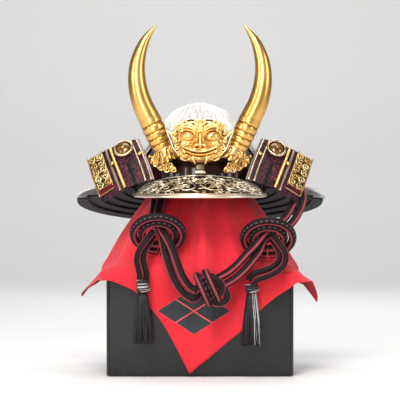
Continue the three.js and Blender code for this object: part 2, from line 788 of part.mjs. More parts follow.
// ---- the cords: pairs of round strands, hung from the helmet and knotted in front ----
// Each row is the middle of a pair, and the direction from it to the first strand.
const RIGHT_MAIN = [
  { x: 126, y: -14, z: 267, ax: 0.87, ay: 0.44, az: 0 },
  { x: 136, y: -36, z: 261, ax: 0.9, ay: 0.3, az: -0.2 },
  { x: 139, y: -50, z: 245, ax: 0.95, ay: 0, az: -0.1 },
  { x: 133, y: -62, z: 229, ax: 0.88, ay: 0, az: -0.45 },
  { x: 122, y: -74, z: 214, ax: 0.7, ay: 0.3, az: -0.6 },
  { x: 106, y: -94, z: 203, ax: 0.3, ay: 0.6, az: -0.74 },
  { x: 88.6, y: -110, z: 192, ax: 0.05, ay: 0.7, az: -0.7 },
  { x: 78.8, y: -120, z: 178, ax: 0.4, ay: 0.5, az: -0.72 },
  { x: 67, y: -127.5, z: 164.5, ax: 0.7, ay: 0.2, az: -0.65 },
  { x: 55, y: -132, z: 151.5, ax: 0.74, ay: 0, az: -0.68 },
  { x: 41, y: -137, z: 140, ax: 0.55, ay: 0, az: -0.84 },
  { x: 25.5, y: -141, z: 132, ax: 0.35, ay: 0, az: -0.93 },
];
const LEFT_MAIN = [
  { x: -57, y: -50, z: 268, ax: 0.66, ay: -0.75, az: 0 },
  { x: -58, y: -56, z: 253, ax: 0.66, ay: -0.75, az: 0.05 },
  { x: -60, y: -66, z: 238, ax: 0.62, ay: -0.77, az: 0.12 },
  { x: -62, y: -89, z: 221, ax: 0.5, ay: -0.8, az: 0.3 },
  { x: -57.5, y: -105, z: 209, ax: 0.25, ay: -0.8, az: 0.55 },
  { x: -52.2, y: -117, z: 198, ax: 0.05, ay: -0.7, az: 0.7 },
  { x: -46.5, y: -126, z: 184, ax: 0.5, ay: -0.55, az: 0.65 },
  { x: -41.5, y: -132, z: 169.5, ax: 0.82, ay: -0.25, az: 0.45 },
  { x: -36, y: -136.5, z: 153, ax: 0.9, ay: 0, az: 0.44 },
  { x: -30, y: -139, z: 138, ax: 0.85, ay: 0, az: 0.5 },
  { x: -22, y: -141, z: 125.5, ax: 0.7, ay: 0, az: 0.7 },
  { x: -14, y: -141.5, z: 117.8, ax: 0.5, ay: 0, az: 0.86 },
  { x: -7.8, y: -142, z: 116, ax: 0.2, ay: 0, az: 0.97 },
];
const RIGHT_TAIL = [
  { x: 100.5, y: -110.4, z: 191.6, ax: 0, ay: -0.7, az: 0.7 },
  { x: 107.5, y: -119.5, z: 181.5, ax: 0.3, ay: -0.75, az: 0.5 },
  { x: 113.5, y: -123, z: 170, ax: 0.7, ay: -0.65, az: 0.2 },
  { x: 111.5, y: -122.5, z: 158, ax: 0.8, ay: -0.5, az: -0.1 },
  { x: 101.5, y: -123.5, z: 149, ax: 0.6, ay: -0.5, az: -0.5 },
  { x: 89, y: -124, z: 143.5, ax: 0.4, ay: -0.45, az: -0.75 },
  { x: 78, y: -124, z: 140, ax: 0.55, ay: -0.4, az: -0.6 },
  { x: 72.5, y: -124, z: 135.5, ax: 0.85, ay: -0.4, az: -0.25 },
  { x: 71.2, y: -124, z: 131.9, ax: 0.9, ay: -0.4, az: 0 },
];
const LEFT_TAIL = [
  { x: -64.5, y: -117.4, z: 197.6, ax: 0, ay: -0.7, az: 0.7 },
  { x: -72, y: -126, z: 187, ax: -0.3, ay: -0.75, az: 0.5 },
  { x: -79, y: -129, z: 176, ax: -0.6, ay: -0.65, az: 0.3 },
  { x: -82, y: -129, z: 164, ax: -0.8, ay: -0.5, az: 0.1 },
  { x: -80, y: -127, z: 152, ax: -0.85, ay: -0.45, az: 0 },
  { x: -78, y: -125, z: 143, ax: -0.85, ay: -0.45, az: 0 },
  { x: -78.5, y: -124, z: 136, ax: -0.85, ay: -0.45, az: 0 },
];
const MAIN = { radius: STRAND.radius, half: 6.15, steps: 17 };
const TAIL = { radius: 4.7, half: 5.05, steps: 9 };
const KNOT = { x: 10, y: -142, z: 125, tilt: 24, half: 12.6, radius: 26, depthShare: 0.84 };
const RINGS = { right: { x: 94, y: -110, z: 192 }, left: { x: -58, y: -117, z: 198 } };
const TASSELS = {
  right: { x: 71, y: -124, headZ: 129.8, head: 13, endZ: 43 },
  left: { x: -78.5, y: -124, headZ: 135.5, head: 18, endZ: 46 },
};

// One tube of eight sides along a curve.
function cordSolid(points, radius, steps) {
  const section = new THREE.Shape();
  for (let k = 0; k < STRAND.sides; k++) {
    const a = (2 * Math.PI * k) / STRAND.sides;
    const place = [radius * Math.cos(a), radius * Math.sin(a)];
    if (k === 0) section.moveTo(...place);
    else section.lineTo(...place);
  }
  section.closePath();
  const extrudePath = new THREE.CatmullRomCurve3(points.map((p) => new THREE.Vector3(...p)));
  return weld(new THREE.ExtrudeGeometry(section, { steps, extrudePath, bevelEnabled: false }));
}

// The centres of one strand of a pair: each row's middle, moved square to the route.
function strandPoints(rows, half, sign) {
  return rows.map((row, k) => {
    const before = rows[Math.max(0, k - 1)];
    const after = rows[Math.min(rows.length - 1, k + 1)];
    const forward = new THREE.Vector3(after.x - before.x, after.y - before.y, after.z - before.z);
    forward.normalize();
    const away = new THREE.Vector3(row.ax, row.ay, row.az);
    away.addScaledVector(forward, -away.dot(forward)).normalize();
    away.multiplyScalar(half * sign);
    return [row.x + away.x, row.y + away.y, row.z + away.z];
  });
}

function addPair(name, rows, { radius, half, steps }) {
  add(`${name}_a`, cordSolid(strandPoints(rows, half, 1), radius, steps), "lacing");
  add(`${name}_b`, cordSolid(strandPoints(rows, half, -1), radius, steps), "lacing");
}

// A knot's ring of two strands, side by side, its top leaning forward.
function addRing(side) {
  const { x, y, z } = RINGS[side];
  const [c, s] = [Math.cos(RING.tilt * DEG), Math.sin(RING.tilt * DEG)];
  for (const [strand, r] of [["a", RING.outerRadius], ["b", RING.innerRadius]]) {
    const points = [];
    const count = 16;
    for (let k = 0; k <= count; k++) {
      const turn = lerp(-90 + RING.opening, 270 - RING.opening, k / count) * DEG;
      const up = r * Math.sin(turn);
      points.push([x + r * Math.cos(turn), y - up * s, z + up * c]);
    }
    add(`cord_ring_${side}_${strand}`, cordSolid(points, STRAND.radius, count), "lacing");
  }
}

function addTassel(side) {
  const { x, y, headZ, head, endZ } = TASSELS[side];
  const neck = headZ - head;
  const neckRadius = 7.6;
  const headRows = [
    [0, headZ],
    [8.5, headZ - 1],
    [9.8, headZ - 5],
    [9.2, neck + 3],
    [neckRadius, neck + GAP],
    [0, neck + GAP],
  ];
  const threadRows = [
    [0, neck],
    [neckRadius, neck],
    [10.5, neck - 10],
    [12.5, neck - 34],
    [14.2, endZ + 6],
    [13.6, endZ],
    [0, endZ],
  ];
  add(`tassel_head_${side}`, turnedSolid(headRows, 14), "lacing").position.set(x, y, 0);
  add(`tassel_${side}`, turnedSolid(threadRows, 14), "lacing").position.set(x, y, 0);
}

function addKnot() {
  const { half, radius, depthShare, tilt } = KNOT;
  const rows = [
    [0, -half],
    [radius - 8, -half],
    [radius - 1.5, -half * 0.72],
    [radius, -half * 0.45],
    [radius - 2.2, 0],
    [radius, half * 0.45],
    [radius - 1.5, half * 0.72],
    [radius - 8, half],
    [0, half],
  ];
  const barrel = turnedSolid(rows, 16);
  barrel.scale(1, depthShare, 1);
  const mesh = add("knot_centre", barrel, "lacing");
  mesh.rotation.y = (90 - tilt) * DEG;
  mesh.position.set(KNOT.x, KNOT.y, KNOT.z);
}

addStand();
addCloth();
addBowl();
addVisor();
addCrestHolder();
addNeckGuard();
addMask();
addHair();
for (const [side, mirror] of [["left", -1], ["right", 1]]) {
  addTurnback(mirror, side);
  addHorn(mirror, side);
  addScroll(mirror, side);
  addRing(side);
  addTassel(side);
}
addPair("cord_main_right", RIGHT_MAIN, MAIN);
addPair("cord_main_left", LEFT_MAIN, MAIN);
addPair("cord_tail_right", RIGHT_TAIL, TAIL);
addPair("cord_tail_left", LEFT_TAIL, TAIL);
addKnot();

export default kabuto;
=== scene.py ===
# %% [markdown]
# # A horned kabuto on its draped chest
# This lesson builds a samurai helmet of the kind shown at home in early summer: gold horns, a lion-demon
# mask, a white hair cover, carved metal fittings, black lacing and thick knotted cords, resting on a
# lacquered chest under a red crêpe cloth. The solid frame is already made; each cell adds one piece's looks.
# Lengths are written in millimetres, because a maker thinks in them, and are turned into metres once.

import json
import math

import bpy
import numpy as np
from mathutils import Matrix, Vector

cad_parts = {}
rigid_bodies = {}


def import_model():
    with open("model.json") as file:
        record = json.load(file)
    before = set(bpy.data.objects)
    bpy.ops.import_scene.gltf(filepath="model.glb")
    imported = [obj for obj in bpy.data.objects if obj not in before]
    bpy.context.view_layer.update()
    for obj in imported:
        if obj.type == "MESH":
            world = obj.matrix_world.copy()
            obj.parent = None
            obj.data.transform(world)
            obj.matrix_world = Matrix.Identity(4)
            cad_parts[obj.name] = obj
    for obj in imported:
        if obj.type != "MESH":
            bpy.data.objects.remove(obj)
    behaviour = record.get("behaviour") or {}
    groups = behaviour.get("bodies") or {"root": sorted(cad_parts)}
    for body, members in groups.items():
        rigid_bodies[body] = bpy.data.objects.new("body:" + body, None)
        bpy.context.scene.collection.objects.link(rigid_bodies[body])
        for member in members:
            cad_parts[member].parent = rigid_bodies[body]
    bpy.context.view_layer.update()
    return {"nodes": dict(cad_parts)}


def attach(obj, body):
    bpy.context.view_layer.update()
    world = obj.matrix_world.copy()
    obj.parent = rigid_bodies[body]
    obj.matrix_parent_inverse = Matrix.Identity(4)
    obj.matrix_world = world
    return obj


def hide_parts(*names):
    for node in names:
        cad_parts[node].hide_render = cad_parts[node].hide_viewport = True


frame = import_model()
MM = 0.001
SIDES = (("left", -1), ("right", 1))
dice = np.random.default_rng(7)

# %% [markdown]
# ## Camera
# The camera looks level at the middle of the object from three metres away through a long lens. So the
# horns and the chest keep their proportions, and near things don't swell.

# %% Place the camera
view_height = 0.565
distance = 3.0
camera_data = bpy.data.cameras.new("catalogue_camera")
camera_data.lens = camera_data.sensor_width * distance / view_height
camera = bpy.data.objects.new("catalogue_camera", camera_data)
camera.location = (0.0, -distance - 0.05, 0.262)
aim = Vector((0.0, -0.05, 0.2435)) - camera.location
camera.rotation_euler = aim.to_track_quat("-Z", "Y").to_euler()
bpy.context.collection.objects.link(camera)
bpy.context.scene.camera = camera
bpy.context.scene.view_settings.view_transform = "Standard"
print("lens in mm:", round(camera_data.lens))

# %% [markdown]
# ## Shapes from grids
# Nearly every piece is a bent sheet, a turned profile or a tube. Each of those is a grid of points with
# quads between them, so three small builders cover them all. They work on whole arrays at once, which
# keeps a dense mesh quick to make. Every point also gets a place on the grid, stored as a UV map, so a
# weave or a stripe can follow the piece, and a tone from 0 (deepest hollow, painted dark as shade) to 1
# (proud edge).


# %% Grid builder
def mesh_piece(name, points, faces, uv=None, tone=None, closed_grid=False):
    mesh = bpy.data.meshes.new(name)
    mesh.from_pydata((np.asarray(points, float).reshape(-1, 3) * MM).tolist(), [], [tuple(f) for f in faces])
    mesh.validate()
    mesh.polygons.foreach_set("use_smooth", np.ones(len(mesh.polygons), bool))
    corner = np.zeros(len(mesh.loops), int)
    mesh.loops.foreach_get("vertex_index", corner)
    if uv is not None:
        layer = mesh.uv_layers.new(name="UVMap")
        placed = np.asarray(uv, np.float32).reshape(-1, 2)[corner]
        totals = np.zeros(len(mesh.polygons), int)
        mesh.polygons.foreach_get("loop_total", totals)
        face = np.repeat(np.arange(len(totals)), totals)
        highest = np.full(len(totals), -1e9)
        np.maximum.at(highest, face, placed[:, 0])
        placed[:, 0] += closed_grid * (highest[face] - placed[:, 0] > 0.5)  # the last column joins the first
        layer.data.foreach_set("uv", placed.ravel())
    if tone is not None:
        layer = mesh.attributes.new("tone", "FLOAT", "POINT")
        layer.data.foreach_set("value", np.asarray(tone, np.float32).ravel())
    piece = bpy.data.objects.new(name, mesh)
    bpy.context.collection.objects.link(piece)
    return piece


def grid_faces(rows, columns, close=False, start=0, flip=False):
    span = columns if close else columns - 1
    j, i = np.meshgrid(np.arange(rows - 1), np.arange(span), indexing="ij")
    right = (i + 1) % columns
    quads = np.stack(
        [j * columns + i, j * columns + right, (j + 1) * columns + right, (j + 1) * columns + i], -1
    )
    quads = quads.reshape(-1, 4) + start
    return (quads[:, ::-1] if flip else quads).tolist()


def table(rows, t):
    """Reads a table of rows at t from 0 to 1, with rounded joins between the rows."""
    rows = np.asarray(rows, float)
    place = np.clip(t, 0, 1) * (len(rows) - 1)
    i = np.minimum(len(rows) - 2, np.floor(place).astype(int))
    s = (place - i)[..., None]
    a, b, c, d = (rows[np.clip(i + k, 0, len(rows) - 1)] for k in (-1, 0, 1, 2))
    bend = (2 * a - 5 * b + 4 * c - d) * s**2
    return 0.5 * (2 * b + (c - a) * s + bend + (3 * b - a - 3 * c + d) * s**3)


def ease(t):
    t = np.clip(t, 0, 1)
    return t * t * (3 - 2 * t)


def hump(distance_from, width):
    return np.exp(-((distance_from / width) ** 2))


print("grid helpers ready")


# %% Sheets with two faces, turned pieces and tubes
def sheet_piece(name, front, back, nu, nv, close=False, tone=None):
    """A thin wall between two surfaces, each a function of u and v arrays."""
    columns = nu if close else nu + 1
    u, v = np.meshgrid(np.arange(columns) / nu, np.arange(nv + 1) / nv)
    outer, inner = front(u, v), back(u, v)
    count = outer.shape[0] * outer.shape[1]
    faces = grid_faces(nv + 1, columns, close)
    faces += grid_faces(nv + 1, columns, close, start=count, flip=True)
    for j, turn in ((0, True), (nv, False)):
        for i in range(nu if close else nu):
            a, b = j * columns + i, j * columns + (i + 1) % columns
            quad = [a, b, b + count, a + count]
            faces.append(quad[::-1] if turn is False else quad)
    if not close:
        for i, turn in ((0, False), (nu, True)):
            for j in range(nv):
                a, b = j * columns + i, (j + 1) * columns + i
                quad = [a, b, b + count, a + count]
                faces.append(quad[::-1] if turn is False else quad)
    points = np.concatenate([outer.reshape(-1, 3), inner.reshape(-1, 3)])
    uv = np.tile(np.stack([u, v], -1).reshape(-1, 2), (2, 1))
    shades = None if tone is None else np.tile(tone(u, v).ravel(), 2)
    piece = mesh_piece(name, points, faces, uv, shades, closed_grid=close)
    face_outwards(piece)
    return piece


def face_outwards(piece):
    """Turns every face of a closed piece to look out."""
    import bmesh

    work = bmesh.new()
    work.from_mesh(piece.data)
    bmesh.ops.remove_doubles(work, verts=work.verts, dist=2e-6)
    bmesh.ops.recalc_face_normals(work, faces=work.faces)
    work.to_mesh(piece.data)
    work.free()


def tube_rings(path, radii, sides, side_hint=(0, 1, 0), flat=1.0):
    """Rings of points along a path, carried along without twisting."""
    path = np.asarray(path, float)
    forward = np.gradient(path, axis=0)
    forward /= np.linalg.norm(forward, axis=1)[:, None]
    side = np.array(side_hint, float)
    turn = np.arange(sides) * 2 * np.pi / sides
    rings = []
    for k, (centre, ahead) in enumerate(zip(path, forward)):
        side = side - ahead * side.dot(ahead)
        side /= np.linalg.norm(side)
        up = np.cross(ahead, side)
        reach = np.broadcast_to(radii[k], (sides,))
        rings.append(
            centre + reach[:, None] * (np.cos(turn)[:, None] * side + flat * np.sin(turn)[:, None] * up)
        )
    return np.array(rings)


def tube_mesh(path, radii, sides=8, side_hint=(0, 1, 0), flat=1.0, start=0):
    """Points and faces of a tube with closed ends, to be used alone or gathered with others."""
    rings = tube_rings(path, radii, sides, side_hint, flat)
    rows = len(rings)
    points = np.concatenate([rings.reshape(-1, 3), rings[0].mean(0)[None], rings[-1].mean(0)[None]])
    faces = grid_faces(rows, sides, close=True, start=start)
    first, last = start + rows * sides, start + rows * sides + 1
    for i in range(sides):
        faces.append([start + (i + 1) % sides, start + i, first])
        faces.append([start + (rows - 1) * sides + i, start + (rows - 1) * sides + (i + 1) % sides, last])
    return points, faces


def gather_tubes(name, tubes, sides=6, flat=1.0, tones=None, hints=None):
    """Joins many tubes, each a path with its radii, into one piece."""
    points, faces, shades, uv = [], [], [], []
    start = 0
    for k, (path, radii) in enumerate(tubes):
        hint = (0, 1, 0) if hints is None else hints[k]
        p, f = tube_mesh(path, radii, sides, hint, flat, start)
        points.append(p)
        faces += f
        shades += [1.0 if tones is None else tones[k]] * len(p)
        along = np.repeat(np.linspace(0, 1, len(path)), sides)
        round_about = np.tile(np.arange(sides) / sides, len(path))
        uv.append(np.concatenate([np.stack([round_about, along], 1), [[0.5, 0], [0.5, 1]]]))
        start += len(p)
    return mesh_piece(name, np.concatenate(points), faces, np.concatenate(uv), shades, closed_grid=True)


def turned_piece(name, rows, segments, middle=(0, 0, 0)):
    """A turned profile of radius and height rows about a vertical line."""
    rows = np.asarray(rows, float)
    turn = np.arange(segments) * 2 * np.pi / segments
    t = np.linspace(0, 1, len(rows))[:, None]
    radius = np.broadcast_to(rows[:, :1], (len(rows), segments))
    height = np.broadcast_to(rows[:, 1:], radius.shape)
    points = np.stack([radius * np.cos(turn), radius * np.sin(turn), height], -1)
    uv = np.stack(np.broadcast_arrays(turn[None, :] / (2 * np.pi), t), -1)
    faces = grid_faces(len(rows), segments, close=True)
    piece = mesh_piece(name, points + np.array(middle), faces, uv, closed_grid=True)
    face_outwards(piece)
    return piece


print("sheet, tube and turned builders ready")

# %% [markdown]
# ## Node workbench
# A material is a small chain of nodes. `put` adds one node, sets its settings, and fills its sockets with
# numbers or with links, so that each finish below reads like a recipe.


# %% Node helpers
def put(tree, kind, sockets=None, **settings):
    node = tree.nodes.new(kind)
    for key, value in settings.items():
        setattr(node, key, value)
    for key, value in (sockets or {}).items():
        if isinstance(value, bpy.types.NodeSocket):
            tree.links.new(value, node.inputs[key])
        else:
            node.inputs[key].default_value = value
    return node


def ramp(tree, factor, stops):
    node = put(tree, "ShaderNodeValToRGB", {"Fac": factor})
    node.color_ramp.interpolation = "EASE"
    while len(node.color_ramp.elements) < len(stops):
        node.color_ramp.elements.new(0.5)
    for element, (place, colour) in zip(node.color_ramp.elements, stops):
        element.position = place
        element.color = (*colour, 1.0)
    return node.outputs["Color"]


def span(tree, value, low, high, to_low=0.0, to_high=1.0):
    sockets = {"Value": value, "From Min": low, "From Max": high, "To Min": to_low, "To Max": to_high}
    return put(tree, "ShaderNodeMapRange", sockets).outputs["Result"]


def sums(tree, operation, a, b=0.0):
    node = put(tree, "ShaderNodeMath", {0: a, 1: b}, operation=operation)
    return node.outputs[0]


def blend(tree, factor, a, b, how="MIX"):
    node = put(tree, "ShaderNodeMix", {"Factor": factor, 6: a, 7: b}, data_type="RGBA", blend_type=how)
    return node.outputs[2]


def new_group(name, inputs, outputs):
    group = bpy.data.node_groups.new(name, "ShaderNodeTree")
    for label, kind, value in inputs:
        socket = group.interface.new_socket(label, in_out="INPUT", socket_type=kind)
        if value is not None:
            socket.default_value = value
    for label, kind in outputs:
        group.interface.new_socket(label, in_out="OUTPUT", socket_type=kind)
    return group, put(group, "NodeGroupInput"), put(group, "NodeGroupOutput")


def place_group(tree, group, sockets):
    node = put(tree, "ShaderNodeGroup", node_tree=group)
    for key, value in sockets.items():
        if isinstance(value, bpy.types.NodeSocket):
            tree.links.new(value, node.inputs[key])
        else:
            node.inputs[key].default_value = value
    return node


FLOAT, COLOUR, VECTOR = "NodeSocketFloat", "NodeSocketColor", "NodeSocketVector"
print("node helpers ready")

# %% [markdown]
# ## Shared effects
# Three effects turn up on many finishes. **Handling** is the soft cloudiness that fingers and polishing
# leave on metal and lacquer. **Threads** is the fine ribbing of silk and braid, drawn along one
# direction of a piece's own grid. **Shade, patina and wear** turns the stored tone of a piece into dark
# hollows, painted shade over dust and patina, and a brighter, rubbed edge. Each is a node group, placed in
# a material with its own values.


# %% Build the shared effects
def build_handling():
    group, ins, outs = new_group(
        "handling",
        [("Scale", FLOAT, 60.0), ("Low", FLOAT, 0.25), ("High", FLOAT, 0.4)],
        [("Roughness", FLOAT), ("Cloud", FLOAT), ("Grain", FLOAT)],
    )
    where = put(group, "ShaderNodeTexCoord").outputs["Object"]
    cloud = put(group, "ShaderNodeTexNoise", {"Vector": where, "Scale": ins.outputs["Scale"], "Detail": 4.0})
    fine_scale = sums(group, "MULTIPLY", ins.outputs["Scale"], 22.0)
    fine = put(group, "ShaderNodeTexNoise", {"Vector": where, "Scale": fine_scale, "Detail": 2.0})
    mixed = sums(group, "MULTIPLY", fine.outputs["Fac"], 0.35)
    mixed = sums(group, "ADD", mixed, sums(group, "MULTIPLY", cloud.outputs["Fac"], 0.65))
    sockets = {"Value": mixed, "From Min": 0.3, "From Max": 0.7}
    sockets |= {"To Min": ins.outputs["Low"], "To Max": ins.outputs["High"]}
    rough = put(group, "ShaderNodeMapRange", sockets)
    group.links.new(rough.outputs["Result"], outs.inputs["Roughness"])
    group.links.new(cloud.outputs["Fac"], outs.inputs["Cloud"])
    group.links.new(fine.outputs["Fac"], outs.inputs["Grain"])
    return group


def build_threads():
    group, ins, outs = new_group(
        "threads",
        [("Grid", VECTOR, None), ("Across", FLOAT, 60.0), ("Along", FLOAT, 3.0), ("Wander", FLOAT, 1.0)],
        [("Height", FLOAT), ("Shade", FLOAT)],
    )
    scale = put(
        group, "ShaderNodeCombineXYZ", {"X": ins.outputs["Across"], "Y": ins.outputs["Along"], "Z": 1.0}
    )
    stretched = put(
        group,
        "ShaderNodeVectorMath",
        {0: ins.outputs["Grid"], 1: scale.outputs["Vector"]},
        operation="MULTIPLY",
    )
    noise = put(
        group,
        "ShaderNodeTexNoise",
        {
            "Vector": stretched.outputs["Vector"], "Scale": 1.0, "Detail": 3.0,
            "Distortion": ins.outputs["Wander"],
        },
    )
    group.links.new(noise.outputs["Fac"], outs.inputs["Height"])
    group.links.new(span(group, noise.outputs["Fac"], 0.32, 0.68), outs.inputs["Shade"])
    return group


def build_recess():
    group, ins, outs = new_group(
        "recess",
        [
            ("Tone", FLOAT, 1.0),
            ("Hollow", COLOUR, (0.05, 0.02, 0.01, 1)),
            ("Body", COLOUR, (0.8, 0.5, 0.2, 1)),
            ("Rubbed", COLOUR, (1.0, 0.8, 0.5, 1)),
            ("Cloud", FLOAT, 0.5),
        ],
        [("Color", COLOUR), ("Depth", FLOAT)],
    )
    shifted = sums(
        group, "ADD", ins.outputs["Tone"], span(group, ins.outputs["Cloud"], 0.3, 0.7, -0.06, 0.06)
    )
    # low tone takes the first colour, painted shade in the hollows over patina and dust; high tone takes the
    # rubbed colour of worn edges
    deep = span(group, shifted, 0.12, 0.5)
    proud = span(group, shifted, 0.7, 1.0)
    low = blend(group, deep, ins.outputs["Hollow"], ins.outputs["Body"])
    colour = blend(group, proud, low, ins.outputs["Rubbed"])
    group.links.new(colour, outs.inputs["Color"])
    group.links.new(deep, outs.inputs["Depth"])
    return group


handling, threads, recess = build_handling(), build_threads(), build_recess()
print("shared effects:", [g.name for g in (handling, threads, recess)])


# %% Start a material
def start_finish(name, **sockets):
    finish = bpy.data.materials.new(name)
    finish.use_nodes = True
    tree = finish.node_tree
    shader = tree.nodes["Principled BSDF"]
    for key, value in sockets.items():
        label = key.replace("_", " ").title().replace("Ior", "IOR")
        shader.inputs[label].default_value = (*value, 1.0) if isinstance(value, tuple) else value
    return finish, tree, shader


def feed(tree, shader, **links):
    for key, socket in links.items():
        tree.links.new(socket, shader.inputs[key.replace("_", " ").title()])


def bump(tree, shader, height, strength, depth):
    sockets = {"Height": height, "Strength": strength, "Distance": depth * MM}
    node = put(tree, "ShaderNodeBump", sockets)
    tree.links.new(node.outputs["Normal"], shader.inputs["Normal"])


def tone_of(tree):
    return put(tree, "ShaderNodeAttribute", attribute_name="tone").outputs["Fac"]


print("material starter ready")

# %% [markdown]
# ## Metal
# The horns and the mask are cast, then plated in a warm satin gold; the visor and the thin edges carry a
# paler, silvery gold. Carved metal is darkened in its hollows, partly chemically as patina and partly as
# painted shade, and rubbed bright on its edges. A metallic Principled shader gives the gloss; the shade,
# patina and wear effect gives both, from the stored tone.


# %% Metal finishes
def metal_finish(name, hollow, body, rubbed, low, high, scale=45.0, grain=0.12):
    finish, tree, shader = start_finish(name, metallic=1.0)
    touch = place_group(tree, handling, {"Scale": scale, "Low": low, "High": high})
    colour = place_group(
        # the first colour, used at low tone, is painted shade over patina
        tree,
        recess,
        {
            "Tone": tone_of(tree),
            "Hollow": (*hollow, 1),
            "Body": (*body, 1),
            "Rubbed": (*rubbed, 1),
            "Cloud": touch.outputs["Cloud"],
        },
    )
    feed(tree, shader, base_color=colour.outputs["Color"], roughness=touch.outputs["Roughness"])
    bump(tree, shader, touch.outputs["Grain"], grain, 0.15)
    return finish


finishes = {
    "gold": metal_finish(
        "satin_gold", (0.045, 0.012, 0.003), (0.66, 0.34, 0.075), (0.98, 0.70, 0.30), 0.26, 0.38
    ),
    "horn": metal_finish(
        "horn_gold", (0.16, 0.055, 0.008), (0.72, 0.37, 0.075), (1.0, 0.68, 0.26), 0.27, 0.35, 20.0
    ),
    "pale": metal_finish(
        "pale_gold", (0.03, 0.014, 0.008), (0.62, 0.48, 0.30), (0.98, 0.90, 0.74), 0.25, 0.4
    ),
    "carved": metal_finish(
        "carved_gold", (0.012, 0.006, 0.004), (0.66, 0.42, 0.15), (1.0, 0.86, 0.5), 0.26, 0.42
    ),
}
print("metals:", list(finishes))

# %% [markdown]
# ## Lacquer
# Lacquer is a deep, smooth resin: a dark body under a clear, glossy coat. The bowl's is red-brown, seen
# almost black where it turns away; the chest's and the lames' is black. Faint clouds in the body and a
# barely uneven surface keep large areas from looking like plastic.


# %% Lacquer finishes
def lacquer_finish(name, deep, light, roughness=0.22):
    finish, tree, shader = start_finish(name, coat_weight=0.45, coat_roughness=0.08, specular_ior_level=0.22)
    touch = place_group(tree, handling, {"Scale": 14.0, "Low": roughness, "High": roughness + 0.14})
    colour = ramp(tree, touch.outputs["Cloud"], [(0.35, deep), (0.68, light)])
    feed(tree, shader, base_color=colour, roughness=touch.outputs["Roughness"])
    bump(tree, shader, touch.outputs["Cloud"], 0.06, 0.5)
    return finish


finishes["bowl_lacquer"] = lacquer_finish("brown_lacquer", (0.012, 0.003, 0.002), (0.045, 0.008, 0.005))
finishes["black_lacquer"] = lacquer_finish("black_lacquer", (0.003, 0.0025, 0.003), (0.007, 0.006, 0.0065))
print("lacquers ready")

# %% [markdown]
# ## Floor and light
# A pale floor curves up into a backdrop. The light is soft and comes from the front and above, as from a
# large studio box, with weaker panels at the sides. Polished gold shows what is round it, so the backdrop
# stays a little darker than the panels: the horns then get a bright middle and warm, darker edges.

# %% Build the stage
floor_finish, floor_tree, floor_shader = start_finish(
    "pale_floor", roughness=0.85, base_color=(0.80, 0.79, 0.78)
)
floor_touch = place_group(floor_tree, handling, {"Scale": 3.0, "Low": 0.7, "High": 0.9})
feed(floor_tree, floor_shader, roughness=floor_touch.outputs["Roughness"])
sweep = [(-6.0, 0.0), (3.6, 0.0), (4.2, 0.08), (4.7, 0.35), (5.0, 0.9), (5.1, 1.6), (5.1, 5.0)]
backdrop_points = [(x, y, z) for y, z in sweep for x in (-7.0, 7.0)]
backdrop_faces = [[2 * k, 2 * k + 1, 2 * k + 3, 2 * k + 2] for k in range(len(sweep) - 1)]
backdrop = mesh_piece("backdrop", np.array(backdrop_points) / MM, backdrop_faces)
backdrop.location.z = -0.0006
backdrop.data.materials.append(floor_finish)

world = bpy.data.worlds.new("studio")
world.use_nodes = True
world.node_tree.nodes["Background"].inputs["Color"].default_value = (0.90, 0.94, 1.0, 1)
world.node_tree.nodes["Background"].inputs["Strength"].default_value = 0.19
bpy.context.scene.world = world


def soft_panel(name, place, aim_at, width, height, watts, colour=(1, 1, 1)):
    lamp = bpy.data.lights.new(name, "AREA")
    lamp.shape, lamp.size, lamp.size_y = "RECTANGLE", width, height
    lamp.energy, lamp.color = watts, colour
    holder = bpy.data.objects.new(name, lamp)
    holder.location = place
    holder.rotation_euler = (Vector(aim_at) - Vector(place)).to_track_quat("-Z", "Y").to_euler()
    bpy.context.collection.objects.link(holder)
    return holder


middle = (0, -0.03, 0.26)
soft_panel("front_box", (-0.2, -1.55, 1.75), middle, 0.9, 0.8, 33, (1.0, 0.985, 0.96))
soft_panel("front_strip", (-0.5, -2.3, 0.95), middle, 0.45, 1.5, 26, (1.0, 0.985, 0.96))
soft_panel("left_panel", (-1.5, -1.1, 0.75), middle, 0.4, 1.0, 8)
soft_panel("right_panel", (1.5, -0.9, 0.8), middle, 0.4, 1.0, 8, (1.0, 0.98, 0.95))
soft_panel("top_panel", (0, 0.2, 1.9), middle, 1.2, 0.8, 12)
soft_panel("back_panel", (0.3, 1.9, 1.5), middle, 1.0, 0.7, 14)
soft_panel("backdrop_wash", (0, 2.6, 3.2), (0, 5.0, 0.9), 3.5, 0.6, 70)

# %% [markdown]
# ## Cords
# Two pairs of thick silk cords hang from the helmet: each pair makes a round knot beside the face, and all
# four strands meet in one knot in front. A kumihimo braid is a tube of interlaced threads, black and maroon,
# with a pink-red rib and a row of pale stitches that run its whole length. The route is a short table of
# the pair's middle and the direction to its first strand; a fine tube is swept along the curve through it,
# its surface rippled into braid by two crossing sets of diagonal ribs. The free ends come off the round
# knots and end in tassels.

